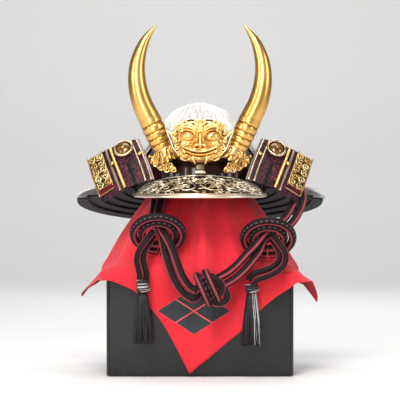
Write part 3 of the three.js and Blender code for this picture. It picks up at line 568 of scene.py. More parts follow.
# %% The routes, in millimetres: middle x, y, z and the direction to the first strand
right_main = [
    (126, -14, 267, 0.87, 0.44, 0),
    (136, -36, 261, 0.9, 0.3, -0.2),
    (139, -50, 245, 0.95, 0, -0.1),
    (133, -62, 229, 0.88, 0, -0.45),
    (122, -74, 214, 0.7, 0.3, -0.6),
    (106, -94, 203, 0.3, 0.6, -0.74),
    (88.6, -110, 192, 0.05, 0.7, -0.7),
    (78.8, -120, 178, 0.4, 0.5, -0.72),
    (67, -127.5, 164.5, 0.7, 0.2, -0.65),
    (55, -132, 151.5, 0.74, 0, -0.68),
    (41, -137, 140, 0.55, 0, -0.84),
    (25.5, -141, 132, 0.35, 0, -0.93),
]
left_main = [
    (-57, -50, 268, 0.66, -0.75, 0),
    (-58, -56, 253, 0.66, -0.75, 0.05),
    (-60, -66, 238, 0.62, -0.77, 0.12),
    (-62, -89, 221, 0.5, -0.8, 0.3),
    (-57.5, -105, 209, 0.25, -0.8, 0.55),
    (-52.2, -117, 198, 0.05, -0.7, 0.7),
    (-46.5, -126, 184, 0.5, -0.55, 0.65),
    (-41.5, -132, 169.5, 0.82, -0.25, 0.45),
    (-36, -136.5, 153, 0.9, 0, 0.44),
    (-30, -139, 138, 0.85, 0, 0.5),
    (-22, -141, 125.5, 0.7, 0, 0.7),
    (-14, -141.5, 117.8, 0.5, 0, 0.86),
    (-7.8, -142, 116, 0.2, 0, 0.97),
]
right_tail = [
    (100.5, -110.4, 191.6, 0, -0.7, 0.7),
    (107.5, -119.5, 181.5, 0.3, -0.75, 0.5),
    (113.5, -123, 170, 0.7, -0.65, 0.2),
    (111.5, -122.5, 158, 0.8, -0.5, -0.1),
    (101.5, -123.5, 149, 0.6, -0.5, -0.5),
    (89, -124, 143.5, 0.4, -0.45, -0.75),
    (78, -124, 140, 0.55, -0.4, -0.6),
    (72.5, -124, 135.5, 0.85, -0.4, -0.25),
    (71.2, -124, 131.9, 0.9, -0.4, 0),
]
left_tail = [
    (-64.5, -117.4, 197.6, 0, -0.7, 0.7),
    (-72, -126, 187, -0.3, -0.75, 0.5),
    (-79, -129, 176, -0.6, -0.65, 0.3),
    (-82, -129, 164, -0.8, -0.5, 0.1),
    (-80, -127, 152, -0.85, -0.45, 0),
    (-78, -125, 143, -0.85, -0.45, 0),
    (-78.5, -124, 136, -0.85, -0.45, 0),
]
main_cord = {"radius": 5.8, "half": 6.15}
tail_cord = {"radius": 4.7, "half": 5.05}
rings = {"right": (94, -110, 192), "left": (-58, -117, 198)}
ring_radii = {"a": 33.9, "b": 22.0}
knot = {"middle": (10, -142, 125), "tilt": 24, "radius": 26, "depth": 0.84, "parting": 6.1, "strand": 5.7}
tassels = {
    "right": {"x": 71, "y": -124, "top": 129.8, "head": 13, "end": 43},
    "left": {"x": -78.5, "y": -124, "top": 135.5, "head": 18, "end": 46},
}
print("cord routes read")


# %% A smooth line through each strand
def through(points, count):
    """A smooth curve through points, then evenly spaced along its length."""
    points = np.asarray(points, float)
    dense = table(points, np.linspace(0, 1, 60 * len(points)))
    gone = np.concatenate([[0], np.cumsum(np.linalg.norm(np.diff(dense, axis=0), axis=1))])
    places = np.linspace(0, gone[-1], count)
    return np.stack([np.interp(places, gone, dense[:, k]) for k in range(3)], -1), gone[-1]


def strand_route(rows, half, sign):
    rows = np.asarray(rows, float)
    middle, away = rows[:, :3], rows[:, 3:].copy()
    ahead = np.empty_like(middle)
    ahead[1:-1] = middle[2:] - middle[:-2]
    ahead[0], ahead[-1] = middle[1] - middle[0], middle[-1] - middle[-2]
    ahead /= np.linalg.norm(ahead, axis=1)[:, None]
    away -= ahead * (away * ahead).sum(1)[:, None]
    away /= np.linalg.norm(away, axis=1)[:, None]
    return middle + away * half * sign


def ring_route(side, radius, opening=3.0):
    x, y, z = rings[side]
    turn = np.radians(np.linspace(-90 + opening, 270 - opening, 17))
    lean = math.radians(45)
    up = radius * np.sin(turn)
    return np.stack([x + radius * np.cos(turn), y - up * math.sin(lean), z + up * math.cos(lean)], -1)


routes = {}
for side, main, tail in (("right", right_main, right_tail), ("left", left_main, left_tail)):
    for strand, sign in (("a", 1), ("b", -1)):
        routes[f"cord_main_{side}_{strand}"] = (
            strand_route(main, main_cord["half"], sign), main_cord["radius"]
        )
        routes[f"cord_tail_{side}_{strand}"] = (
            strand_route(tail, tail_cord["half"], sign), tail_cord["radius"]
        )
        routes[f"cord_ring_{side}_{strand}"] = (ring_route(side, ring_radii[strand]), main_cord["radius"])
print("strands:", len(routes))

# %% [markdown]
# ## The braid's colours
# The tube's own grid runs once round and once along. Its v is counted in turns of the braid, so the
# diagonal ribs, the pink rib and the pale stitches all keep one size on every strand. The ribs are in the
# mesh; the material adds the colour of each thread, painted darker in the grooves between the ribs as
# shade, and its fine sheen.


# %% Braid finish
def braid_finish(name, body_a, body_b, rib, stitch, rib_width=0.055, repeat=(1.0, 1.0)):
    finish, tree, shader = start_finish(
        name, roughness=0.66, sheen_weight=0.04, sheen_roughness=0.4, specular_ior_level=0.2
    )
    grid = put(tree, "ShaderNodeUVMap", uv_map="UVMap").outputs["UV"]
    parts = put(tree, "ShaderNodeSeparateXYZ", {"Vector": grid})
    u = sums(tree, "MULTIPLY", parts.outputs["X"], repeat[0])
    v = sums(tree, "MULTIPLY", parts.outputs["Y"], repeat[1])
    folded = sums(tree, "ABSOLUTE", sums(tree, "SUBTRACT", sums(tree, "FRACT", u), 0.5))
    slant = sums(tree, "ADD", sums(tree, "MULTIPLY", folded, 5.0), v)
    thread = sums(tree, "ABSOLUTE", sums(tree, "SUBTRACT", sums(tree, "FRACT", slant), 0.5))
    # dark in each groove and light on each crest, following the mesh's ribs: painted shade over the black and
    # maroon threads
    shade = span(tree, thread, 0.1, 0.45)
    body = blend(tree, shade, (*body_a, 1), (*body_b, 1))
    pink_place = sums(tree, "ABSOLUTE", sums(tree, "SUBTRACT", folded, 0.30))
    pink_mask = span(tree, pink_place, rib_width, rib_width * 0.7)
    # a darker copy of the pink in the grooves: painted shade
    pink_shade = blend(tree, shade, (*[c * 0.55 for c in rib], 1), (*rib, 1))
    colour = blend(tree, pink_mask, body, pink_shade)
    stitch_place = sums(tree, "ABSOLUTE", sums(tree, "SUBTRACT", folded, 0.12))
    stitch_line = span(tree, stitch_place, 0.026, 0.016)
    dash = span(tree, sums(tree, "FRACT", sums(tree, "MULTIPLY", v, 0.5)), 0.50, 0.56)
    mask = sums(tree, "MULTIPLY", stitch_line, dash)
    colour = blend(tree, mask, colour, (*stitch, 1))
    silk = place_group(
        tree, threads, {"Grid": grid, "Across": 90.0 * repeat[0], "Along": 6.0 * repeat[1], "Wander": 0.4}
    )
    colour = blend(tree, span(tree, silk.outputs["Shade"], 0, 1, 0.0, 0.35), colour, (0.002, 0.001, 0.001, 1))
    feed(tree, shader, base_color=colour)
    bump(tree, shader, sums(tree, "ADD", silk.outputs["Height"], shade), 0.4, 0.25)
    return finish


finishes["braid"] = braid_finish(
    "braided_silk", (0.004, 0.002, 0.003), (0.024, 0.007, 0.011), (0.50, 0.075, 0.10), (0.16, 0.09, 0.10)
)
print("braid ready")


# %% Sweep the strands
def braid_ripple(u, v, height=0.34):
    folded = np.abs((u % 1.0) - 0.5)
    slant = (folded * 5.0 + v) % 1.0
    return height * (np.abs(slant - 0.5) * 2 - 0.5) + 0.30 * hump(folded - 0.30, 0.05)


def braid_tube(name, line, radius, hint, sides=20, turn_length=3.4):
    """A braided strand along an even line: rings of points and the line they follow."""
    length = np.linalg.norm(np.diff(line, axis=0), axis=1).sum()
    along = np.linspace(0, length / turn_length, len(line))
    u = np.arange(sides) / sides
    ripple = braid_ripple(u[None, :], along[:, None])
    radii = (radius - 0.35) + ripple
    rings_of_points = tube_rings(line, radii, sides, hint)
    rows = len(line)
    points = np.concatenate([rings_of_points.reshape(-1, 3), line[:1], line[-1:]])
    faces = grid_faces(rows, sides, close=True)
    for i in range(sides):
        faces.append([(i + 1) % sides, i, rows * sides])
        faces.append([(rows - 1) * sides + i, (rows - 1) * sides + (i + 1) % sides, rows * sides + 1])
    uv = np.stack(np.broadcast_arrays(u[None, :], along[:, None]), -1).reshape(-1, 2)
    uv = np.concatenate([uv, [[0, 0], [0, along[-1]]]])
    piece = mesh_piece(name, points, faces, uv, closed_grid=True)
    face_outwards(piece)
    return piece


strands, strand_lengths = {}, {}
for name, (route, radius) in routes.items():
    line, length = through(route, int(np.linalg.norm(np.diff(route, axis=0), axis=1).sum() / 0.85))
    hint = (0, -1, 0.2) if "main" in name or "tail" in name else (0, -0.7, 0.7)
    piece = braid_tube(name.replace("cord_", "braid_"), line, radius, hint)
    piece.data.materials.append(finishes["braid"])
    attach(piece, "root")
    strands[name], strand_lengths[name] = piece, (line, length)
print("strand lengths, mm:", {n: round(l) for n, (_, l) in strand_lengths.items()})

# %% [markdown]
# ## Centre knot
# The four strands meet in one knot, where the right pair wraps round the left one. Seen from the front it
# is two thick strands side by side over a bundle, so it is built as two braided hoops, flattened as a
# pulled knot is, round a short bundle of strands that shows at its two ends. Each main strand runs on into
# the bundle, and two loops hang out below it.


# %% Tie the centre knot
def knot_hoop(shift, radius, count=150):
    turn = np.linspace(0, 2 * np.pi, count)
    x, y = radius * np.cos(turn), knot["depth"] * radius * np.sin(turn)
    return np.stack([x, y, np.full(count, float(shift))], -1)


def knot_frame(points):
    """Lays the knot's own line along its tilt, and moves it to its place."""
    tilt = math.radians(90 - knot["tilt"])
    c, s = math.cos(tilt), math.sin(tilt)
    turned = np.stack(
        [points[:, 0] * c + points[:, 2] * s, points[:, 1], points[:, 2] * c - points[:, 0] * s], -1
    )
    return turned + np.array(knot["middle"])


hoops = []
for label, side in (("upper", -1), ("lower", 1)):
    shift = side * knot["parting"]
    line = knot_frame(knot_hoop(shift, knot["radius"] - 5.9))
    rib_side = (0.07 * shift, -1, 0.03 * shift)  # the pink rib shows in front, on the outer side
    hoops.append(braid_tube(f"knot_{label}_hoop", line, knot["strand"], rib_side))
for label, place in (
    ("front", (-6.3, -6.0)), ("back", (6.6, -4.0)), ("low", (0.5, 6.6)), ("inner", (0, -12.0))
):
    bundle = np.stack(
        [np.linspace(*c, 24) for c in ((place[0], place[0] * 0.8), (place[1], place[1] * 0.8), (-11, 11))], -1
    )
    hoops.append(braid_tube(f"knot_{label}_bundle", knot_frame(bundle), 5.4, (0, 1, 0)))
for name in [n for n in strands if "main" in n]:  # each main strand runs on into the bundle
    line = strand_lengths[name][0]
    end = 1 if "right" in name else -1
    place = (-6.3, -6.0) if name.endswith("a") else (0.5, 6.6)
    inside = knot_frame(np.array([[*place, 9.0 * end], [*place, 3.0 * end]]))
    ahead = (line[-1] - line[-4]) / np.linalg.norm(line[-1] - line[-4])
    joined, _ = through(np.array([line[-1] - 3 * ahead, line[-1] + 1.5 * ahead, *inside]), 26)
    hoops.append(braid_tube(name.replace("cord_", "knot_"), joined, knot["strand"], (0, -1, 0.2)))
under = [
    (4, -138, 124), (12, -144, 111), (24, -146, 103.5), (35, -145, 107), (37, -143, 117), (28, -139, 127),
    (17, -134, 129),
]
for label, shift in (("outer", (0, 0, 0)), ("nested", (-2.5, -1.5, 10.6))):
    loop, _ = through(np.array(under) * (1 if label == "outer" else (0.86, 1, 1)) + shift, 90)
    hoops.append(braid_tube(f"knot_{label}_loop", loop, 5.3, (0, -1, 0.2)))
for piece in hoops:
    piece.data.materials.append(finishes["braid"])
    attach(piece, "root")
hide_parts("knot_centre")
print("knot strands:", len(hoops))

# %% [markdown]
# ## Tassels
# Each tail ends in a bound head and a skirt of loose silk. The binding is a few turns of cord over a
# padded core, with a pale thread among them. The skirt is made as what it is: a couple of hundred fine
# threads in rings, each hanging from under the head with its own small wave and its own length. The right
# tassel keeps some silver threads on its outer side.


# %% Thread finish
def thread_finish(name, dark, light, shine=0.45):
    finish, tree, shader = start_finish(
        name, roughness=shine, sheen_weight=0.06, sheen_roughness=0.35, specular_ior_level=0.3
    )
    grid = put(tree, "ShaderNodeUVMap", uv_map="UVMap").outputs["UV"]
    silk = place_group(tree, threads, {"Grid": grid, "Across": 7.0, "Along": 30.0, "Wander": 0.6})
    mixed = ramp(tree, silk.outputs["Shade"], [(0.1, dark), (0.95, light)])
    tinted = blend(tree, tone_of(tree), (0.55, 0.54, 0.55, 1), mixed)
    feed(tree, shader, base_color=tinted)
    bump(tree, shader, silk.outputs["Height"], 0.5, 0.2)
    return finish


finishes["tassel"] = thread_finish("tassel_silk", (0.003, 0.0025, 0.0025), (0.026, 0.022, 0.024))


def tassel_skirt(side, spec):
    """Loose threads, in three rings, hanging from the neck."""
    neck = spec["top"] - spec["head"] - 0.5
    paths, tones, hints = [], [], []
    for ring, (count, inner, outer) in enumerate(((30, 1.8, 4.0), (56, 4.2, 9.0), (84, 6.0, 13.2))):
        for k in range(count):
            angle = 2 * math.pi * (k + dice.uniform(-0.3, 0.3)) / count
            t = np.linspace(0, 1, 12)
            spread = inner + (outer - inner) * (1 - (1 - t) ** 1.7) + dice.uniform(-0.5, 0.5) * t
            swing = dice.uniform(-0.9, 0.9) * np.sin(t * dice.uniform(4, 9) + dice.uniform(0, 6)) * t
            turn = angle + 0.22 * t * dice.uniform(-1, 1)
            end = spec["end"] + dice.uniform(0, 5.5) + (2 - ring) * 1.0
            x = spec["x"] + spread * np.cos(turn) + swing * np.sin(turn)
            y = spec["y"] + spread * np.sin(turn) - swing * np.cos(turn)
            thick = (0.85 if ring < 2 else 0.72) * (1 - 0.35 * t)
            paths.append((np.stack([x, y, neck + (end - neck) * t], -1), thick))
            silver = side == "right" and ring == 2 and math.cos(angle) > 0.15 and dice.random() < 0.35
            tones.append(0.05 if silver else 1.0)
            hints.append((math.cos(angle), math.sin(angle), 0))
    return gather_tubes(f"tassel_skirt_{side}", paths, sides=5, tones=tones, hints=hints)


def tassel_binding(side, spec):
    """Turns of fine cord round the padded head, closing over its top."""
    top, neck = spec["top"], spec["top"] - spec["head"] + 0.8
    turns = round(spec["head"] / 1.9)
    t = np.linspace(0, 1, 44 * turns)
    profile = np.array([(7.2, neck), (8.4, neck + 3), (8.7, top - 5), (7.7, top - 1.7), (5.5, top - 0.9)])
    shape = table(profile, t)
    angle = 2 * np.pi * turns * t
    line = np.stack(
        [spec["x"] + shape[:, 0] * np.cos(angle), spec["y"] + shape[:, 0] * np.sin(angle), shape[:, 1]], -1
    )
    core = [
        (0, neck - 0.3), (6.6, neck - 0.3), (7.9, neck + 3), (8.0, top - 5), (7.0, top - 1.8), (0, top - 0.4)
    ]
    core_piece = turned_piece(f"tassel_core_{side}", core, 28, (spec["x"], spec["y"], 0))
    cord_piece = gather_tubes(f"tassel_binding_{side}", [(line, np.full(len(line), 1.0))], sides=6)
    pale_t = np.linspace(0.05, 0.95, 90)
    pale_shape = table(profile, pale_t)
    pale_turn = 2 * np.pi * 1.25 * pale_t - 2.3
    reach = pale_shape[:, 0] + 0.9
    pale_line = np.stack(
        [spec["x"] + reach * np.cos(pale_turn), spec["y"] + reach * np.sin(pale_turn), pale_shape[:, 1]], -1
    )
    pale_piece = gather_tubes(
        f"tassel_pale_thread_{side}", [(pale_line, np.full(90, 0.5))], sides=5, tones=[0.0]
    )
    return core_piece, cord_piece, pale_piece


for side, spec in tassels.items():
    skirt = tassel_skirt(side, spec)
    core_piece, cord_piece, pale_piece = tassel_binding(side, spec)
    for piece in (skirt, core_piece, cord_piece, pale_piece):
        piece.data.materials.append(finishes["tassel"])
        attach(piece, "root")
    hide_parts(f"tassel_{side}")
    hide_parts(f"tassel_head_{side}")
print("threads in both skirts:", 2 * (30 + 56 + 84))

# %% [markdown]
# ## Hiding the frame's cords
# Each braided strand stands in for the frame's own cord, so those are hidden. The lengths come from the
# routes themselves, since each strand is seen from end to end.

for name, (line, length) in strand_lengths.items():
    side = "right" if "right" in name else "left"
    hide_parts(name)
print("cords declared:", len(strand_lengths))

# %% [markdown]
# ## Chest
# The stand is a plain lacquered chest with softly rounded corners. A cube would look like a stand-in, so
# the outline is drawn as a rounded rectangle, carried up in rows, and turned in at the top and the bottom
# with a small round that catches a line of light, as a lacquerer's rounded edge does.

# %% Build the chest
chest = {"x": 130.0, "y": 100.0, "high": 138.0, "corner": 7.0, "round": 2.5}


def rounded_outline(x, y, corner, steps=6):
    turn = np.radians(np.concatenate([np.linspace(90 * k, 90 * k + 90, steps) for k in range(4)]))
    sign_x = np.repeat([1, -1, -1, 1], steps)
    sign_y = np.repeat([1, 1, -1, -1], steps)
    return np.stack(
        [sign_x * (x - corner) + corner * np.cos(turn), sign_y * (y - corner) + corner * np.sin(turn)], -1
    )


def chest_piece():
    rows, columns = [], 24
    edge = chest["round"]
    bends = np.radians(np.linspace(0, 90, 5))
    levels = [(edge * (1 - math.sin(a)), edge * (1 - math.cos(a))) for a in bends]
    heights = [(pull, z) for pull, z in levels]
    heights += [(0.0, z) for z in np.linspace(edge + 10, chest["high"] - edge - 10, 6)]
    heights += [(pull, chest["high"] - z) for pull, z in levels[::-1]]
    for pull, z in heights:
        outline = rounded_outline(chest["x"] - pull, chest["y"] - pull, chest["corner"])
        rows.append(np.column_stack([outline, np.full(columns, z)]))
    points = np.concatenate(rows)
    faces = grid_faces(len(rows), columns, close=True)
    faces.append(list(range(columns))[::-1])
    faces.append([(len(rows) - 1) * columns + i for i in range(columns)])
    piece = mesh_piece("chest", points, faces)
    face_outwards(piece)
    return piece


def wear(piece, finish, slot_name, *nodes):
    """Gives a piece its finish and ties it to the frame and to the solids that it stands for."""
    piece.data.materials.append(finishes[finish])
    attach(piece, "root")
    if nodes:
        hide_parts(*nodes)
    return piece


stand = chest_piece()
stand.modifiers.new("flat_faces", "WEIGHTED_NORMAL").keep_sharp = True
wear(stand, "black_lacquer", "black_lacquered_wood", "stand_chest")
frame["nodes"]["stand_post"].data.materials.clear()
frame["nodes"]["stand_post"].data.materials.append(finishes["black_lacquer"])
print("chest points:", len(stand.data.vertices))

# %% [markdown]
# ## Cloth
# A square of red crêpe is laid cornerwise over the post and the chest: it makes a steep tent under the
# helmet, breaks over the chest's edge, and hangs in four points. A simulated cloth would drape well but
# land somewhere new each time it is tuned, so the tent is a table of half-widths by height, the hem is a
# table of heights by angle, and the folds are soft ridges added on top, with finer creases between them.

# %% The cloth's tables and surface
cap = [(42.6 * math.sin(a), 322 + 39.2 * math.cos(a)) for a in np.radians((0, 35, 70))]
tent = [(r, r, z) for r, z in cap]  # half-width, half-depth, height
tent += [
    (46, 45, 310), (50, 50, 285), (60, 58, 258), (80, 68, 230), (104, 82, 196), (121, 95, 166),
    (133, 103.5, 142.5),
]
hem_angles = [
    -180, -161, -140, -130, -117, -97.7, -90, -76, -62, -50, -37.5, -24, -12, 0, 25, 52, 72, 90, 108, 128,
    155, 180,
]
hem_heights = [
    106, 131, 133, 118, 76, 3.2, 17, 37, 62, 96, 130, 131, 99, 121, 132, 118, 70, 38, 70, 118, 132, 106
]
# each fold: its angle, its width in degrees and how far it stands out
folds = [  # turn, width in degrees, how far out
    (-88, 8, 15), (-61, 7, 6), (-128, 8, 5), (-147, 9, 8), (-30, 9, 8), (3, 9, 7), (38, 10, 8), (75, 9, 8)
]
folds += [(112, 9, 8), (145, 9, 8), (178, 9, 7)]
# each small crease: its angle, the heights it runs between, its width and its depth
creases = [  # turn, top, foot, width in degrees, how far out
    (-101, 300, 160, 2.6, -1.6), (-76, 290, 165, 3.0, -2.4), (-68, 250, 150, 2.2, 1.2),
    (-112, 270, 150, 2.6, -1.7), (-94, 240, 120, 2.0, 1.1), (-55, 240, 150, 2.6, 1.6),
    (-45, 220, 150, 2.4, -1.6), (-137, 230, 150, 2.6, -1.6), (-118, 160, 80, 2.2, 1.3),
    (-84, 120, 40, 2.6, -1.2), (-104, 110, 40, 2.4, 1.0), (-20, 200, 120, 3, 1.6),
    (-158, 200, 120, 3, 1.6), (20, 240, 150, 3, -1.6), (60, 240, 120, 3, 1.8),
    (95, 220, 60, 3, -1.6), (128, 240, 150, 3, 1.6),
]
tent_share = 9 / 13
skirt_x, skirt_y, squareness = 132.6, 102.6, 14


def round_gap(angle, other):
    return (angle - other + 180) % 360 - 180


def cloth_surface(thick):
    def surface(u, v):
        angle = -180 + 360 * u
        c, s = np.cos(np.radians(angle)), np.sin(np.radians(angle))
        t = np.clip(v / tent_share, 0, 1)
        row = table(tent, t)
        # round at the top, and a squared oval where it meets the chest
        reach = (
            (np.abs(c) / skirt_x) ** squareness + (np.abs(s) / skirt_y) ** squareness
        ) ** (-1 / squareness)
        round_tent = 1 / np.hypot(c / np.maximum(row[..., 0], 1e-6), s / np.maximum(row[..., 1], 1e-6))
        radius = round_tent + (reach - round_tent) * ease((t - 0.9) / 0.1) * t
        z = row[..., 2]
        hang = np.clip((v - tent_share) / (1 - tent_share), 0, 1)
        # soft folds, then the lifted hem
        rise = ease((340 - z) / 110)
        radius = radius + sum(
            out * hump(round_gap(angle, a), w) for a, w, out in folds
        ) * rise * (1 - 0.45 * hang)
        radius = radius + hang * 32 * hump(np.minimum(np.abs(angle + 14), np.abs(np.abs(angle) - 178)), 17)
        hem = np.interp(angle, hem_angles, hem_heights)
        z = z + (np.minimum(z - 2, hem) - z) * hang
        for a, top, low, w, deep in creases:
            share = ease((top - z) / 25) * ease((z - low) / 25)
            drift = a + 6 * np.sin((top - z) / 60.0) * (1 if deep > 0 else -1)
            radius = radius + deep * hump(round_gap(angle, drift), w) * share
        radius = radius + 0.6 * np.sin(np.radians(angle * 7)) * hang * (1 - hang) * 2
        radius = (
            radius + 0.35 * np.sin(z / 7.0 + angle / 11.0) * np.clip(4 * hang, 0.15, 1) * ease((z - 6) / 20)
        )
        radius = radius + thick * np.clip(10 * t, 0, 1)
        return np.stack([radius * c, radius * s, z + thick * (1 - t)], -1)

    return surface


print("cloth rows:", len(tent), "hem points:", len(hem_angles))


# %% Crêpe with its dyed crest
def crepe_finish():
    finish, tree, shader = start_finish(
        "red_crepe", roughness=0.82, sheen_weight=0.3, sheen_roughness=0.5, sheen_tint=(1.0, 0.45, 0.45)
    )
    grid = put(tree, "ShaderNodeUVMap", uv_map="UVMap").outputs["UV"]
    weave = place_group(tree, threads, {"Grid": grid, "Across": 1500.0, "Along": 420.0, "Wander": 1.2})
    place = put(tree, "ShaderNodeTexCoord").outputs["Object"]
    soft = put(tree, "ShaderNodeTexNoise", {"Vector": place, "Scale": 12.0, "Detail": 2.0})
    red = ramp(tree, soft.outputs["Fac"], [(0.3, (0.66, 0.006, 0.018)), (0.7, (0.84, 0.018, 0.036))])
    red = blend(tree, span(tree, weave.outputs["Shade"], 0, 1, 0, 0.22), red, (0.40, 0.0, 0.008, 1))
    parts = put(tree, "ShaderNodeSeparateXYZ", {"Vector": place})
    x = sums(tree, "DIVIDE", sums(tree, "ADD", parts.outputs["X"], 0.0085), 0.0500)
    z = sums(tree, "DIVIDE", sums(tree, "SUBTRACT", parts.outputs["Z"], 0.0910), 0.0320)
    p, q = sums(tree, "ADD", x, z), sums(tree, "SUBTRACT", x, z)
    size_p, size_q = sums(tree, "ABSOLUTE", p), sums(tree, "ABSOLUTE", q)
    farther = sums(tree, "MAXIMUM", size_p, size_q)
    nearer = sums(tree, "MINIMUM", size_p, size_q)
    inside = sums(
        tree, "MULTIPLY", sums(tree, "LESS_THAN", farther, 1.0), sums(tree, "GREATER_THAN", nearer, 0.035)
    )
    front = sums(tree, "LESS_THAN", parts.outputs["Y"], -0.085)
    crest = sums(tree, "MULTIPLY", inside, front)
    slate = ramp(tree, weave.outputs["Shade"], [(0.0, (0.012, 0.018, 0.022)), (1.0, (0.035, 0.048, 0.055))])
    line = sums(tree, "MULTIPLY", sums(tree, "LESS_THAN", farther, 1.02), front)
    red = blend(tree, sums(tree, "MULTIPLY", line, 0.5), red, (0.85, 0.16, 0.18, 1))
    feed(tree, shader, base_color=blend(tree, crest, red, slate))
    hung = put(tree, "ShaderNodeMapping", {"Vector": place, "Scale": (1.0, 1.0, 0.3)})
    crease = put(
        tree, "ShaderNodeTexNoise",
        {"Vector": hung.outputs["Vector"], "Scale": 26.0, "Detail": 3.0, "Distortion": 0.6},
    )
    height = sums(tree, "ADD", sums(tree, "MULTIPLY", weave.outputs["Height"], 0.05), crease.outputs["Fac"])
    bump(tree, shader, height, 0.9, 6.0)
    return finish


finishes["crepe"] = crepe_finish()
cloth = sheet_piece("red_cloth", cloth_surface(2.2), cloth_surface(0.9), 264, 84, close=True)
wear(cloth, "crepe", "red_crepe_cloth", "stand_cloth")
print("cloth points:", len(cloth.data.vertices))

# %% [markdown]
# ## Bowl and rim
# The bowl is riveted iron under red-brown lacquer. Its raised ribs show between the mask and the visor, so
# the surface keeps the frame's profile and gains low vertical ribs, and a band of black lacquer closes its
# rim. The rim is level from side to side and rides higher in front than behind.

# %% Build the bowl and its band
bowl_rows = [
    (88, 252), (88, 268), (86.5, 282), (80, 298), (70, 315), (58.5, 332), (47.5, 345), (37, 356), (23, 365.5),
    (8, 371.2), (0, 372),
]
depth_share = 1.1


def ring_surface(rows, shrink, ribs=0.0):
    def surface(u, v):
        angle = 2 * np.pi * u
        row = table(rows, v)
        r = np.maximum(0, row[..., 0] - shrink * np.clip(12 * (1 - v), 0, 1))
        rib = np.abs(np.sin(angle * 16)) ** 0.5 - 0.8
        r = r + ribs * rib * ease(8 * (1 - v)) * ease(r / 40)
        y = depth_share * r * np.sin(angle)
        z = row[..., 1] - shrink * ease(v) * 0.95
        lift = -0.15 * y * np.clip((372 - z) / 120, 0, 1)
        return np.stack([r * np.cos(angle), y, z + lift], -1)

    return surface


bowl = sheet_piece(
    "lacquered_bowl", ring_surface(bowl_rows, 0, 0.7), ring_surface(bowl_rows, 2.8), 192, 34, close=True
)
wear(bowl, "bowl_lacquer", "brown_lacquer", "helmet_bowl")
band_rows = [
    (88.6, 252), (90.2, 252.2), (90.4, 253.5), (90.1, 258), (90.4, 263.5), (90.2, 264.8), (88.6, 265)
]
band_back = [(88.4, row[1]) for row in band_rows]
band = sheet_piece("rim_band", ring_surface(band_rows, 0), ring_surface(band_back, 0), 160, 18, close=True)
wear(band, "black_lacquer", "black_lacquer", "bowl_band")
print("bowl points:", len(bowl.data.vertices))

# %% [markdown]
# ## Carved visor
# The visor is a crescent of copper covered with carved scrolling vines in pale gold, inside a double edge.
# The vines are modelled, not painted: spiral tubes with small leaves lie over a dark ground, mirrored about
# the middle. A flat design is drawn in the visor's own u and v, and then laid on its surface.


# %% Visor surface and scroll drawing
def visor_surface(u, v, lift=0.0):
    turn = np.radians(-80 + 160 * u)
    inner = 88 + 0.4 + 2 + 0.4
    reach = np.maximum(1.5, 55 * np.clip(np.cos((u - 0.5) * np.pi), 0, 1) ** 0.62)
    narrow = 1 - 0.85 * np.sin(turn) ** 2
    high = 279 - 29.6 * (1 - np.cos(turn))
    low = 250.5 + 3 * (1 - np.cos(turn))
    x = (inner + v * reach * narrow) * np.sin(turn)
    y = -(depth_share * inner + v * reach) * np.cos(turn)
    return np.stack([x, y - 0.35 * lift, high + (low - high) * np.maximum(v, 0) ** 1.15 + 0.9 * lift], -1)


def spiral_line(middle, start, turns, size, swing, count=34):
    """A scroll in the flat: it winds in from its outer end to its eye."""
    t = np.linspace(0, 1, count)
    angle = start + swing * 2 * np.pi * turns * t
    reach = size * (1 - 0.82 * t)
    return np.stack([middle[0] + reach * np.cos(angle), middle[1] + reach * np.sin(angle)], -1)


def laid_tubes(name, lines, surface, thick, lift, sides=7, flat=1.0, tones=None):
    """Flat lines, given in a surface's u and v, laid on it as tubes that thin towards their ends."""
    tubes = []
    for k, line in enumerate(lines):
        t = np.linspace(0, 1, len(line))
        width = thick if np.isscalar(thick) else thick[k]
        radii = width * (0.45 + 0.55 * np.sin(np.pi * np.clip(t * 0.92 + 0.06, 0, 1)) ** 0.7)
        tubes.append((surface(line[:, 0], line[:, 1], lift), radii))
    return gather_tubes(name, tubes, sides, flat, tones)


def visor_scrolls():
    lines, widths = [], []
    marks = [  # each scroll of the right half: its middle in u and v, how far it turns, its size in v
        (0.555, 0.62, 1.5, 0.20), (0.60, 0.32, 1.3, 0.16), (0.645, 0.66, 1.5, 0.22),
        (0.69, 0.36, 1.3, 0.17), (0.735, 0.66, 1.5, 0.22), (0.775, 0.36, 1.2, 0.16),
        (0.82, 0.64, 1.4, 0.21), (0.86, 0.42, 1.1, 0.15), (0.90, 0.66, 1.2, 0.17), (0.52, 0.34, 1.1, 0.13),
    ]
    for k, (u, v, turns, size) in enumerate(marks):
        for mirror in (1, -1):
            swing = mirror * (1 if k % 2 else -1)
            flat = spiral_line((0, 0), math.radians(90 if k % 2 else -90), turns, size, swing)
            flat = np.stack([0.5 + mirror * (u - 0.5) + flat[:, 0] * 0.21, v + flat[:, 1]], -1)
            lines.append(flat)
            widths.append(1.15)
            for _ in range(5):
                a = dice.uniform(0, 6.28)
                t = np.linspace(0, 1, 7)
                bend = dice.uniform(-1.2, 1.2)
                start = (0.5 + mirror * (u - 0.5) + 0.16 * size * math.cos(a), v + 0.8 * size * math.sin(a))
                leaf_line = np.stack(
                    [start[0] + 0.032 * t * np.cos(a + bend * t), start[1] + 0.15 * t * np.sin(a + bend * t)],
                    -1,
                )
                leaf_line[:, 1] = np.clip(leaf_line[:, 1], 0.07, 0.9)
                lines.append(leaf_line)
                widths.append(0.8)
    for _ in range(62):  # small curls fill the ground between the large ones
        u, v, size = dice.uniform(0.51, 0.95), dice.uniform(0.13, 0.90), dice.uniform(0.045, 0.08)
        for mirror in (1, -1):
            flat = spiral_line((0, 0), dice.uniform(0, 6.28), 1.1, size, mirror, 20)
            lines.append(np.stack([0.5 + mirror * (u - 0.5) + flat[:, 0] * 0.21, v + flat[:, 1]], -1))
            widths.append(0.62)
    wave_u = np.linspace(0.06, 0.94, 160)
    wave = np.stack([wave_u, 0.50 + 0.20 * np.sin((wave_u - 0.5) * 62)], -1)
    lines.append(wave)
    widths.append(0.9)
    return lines, widths


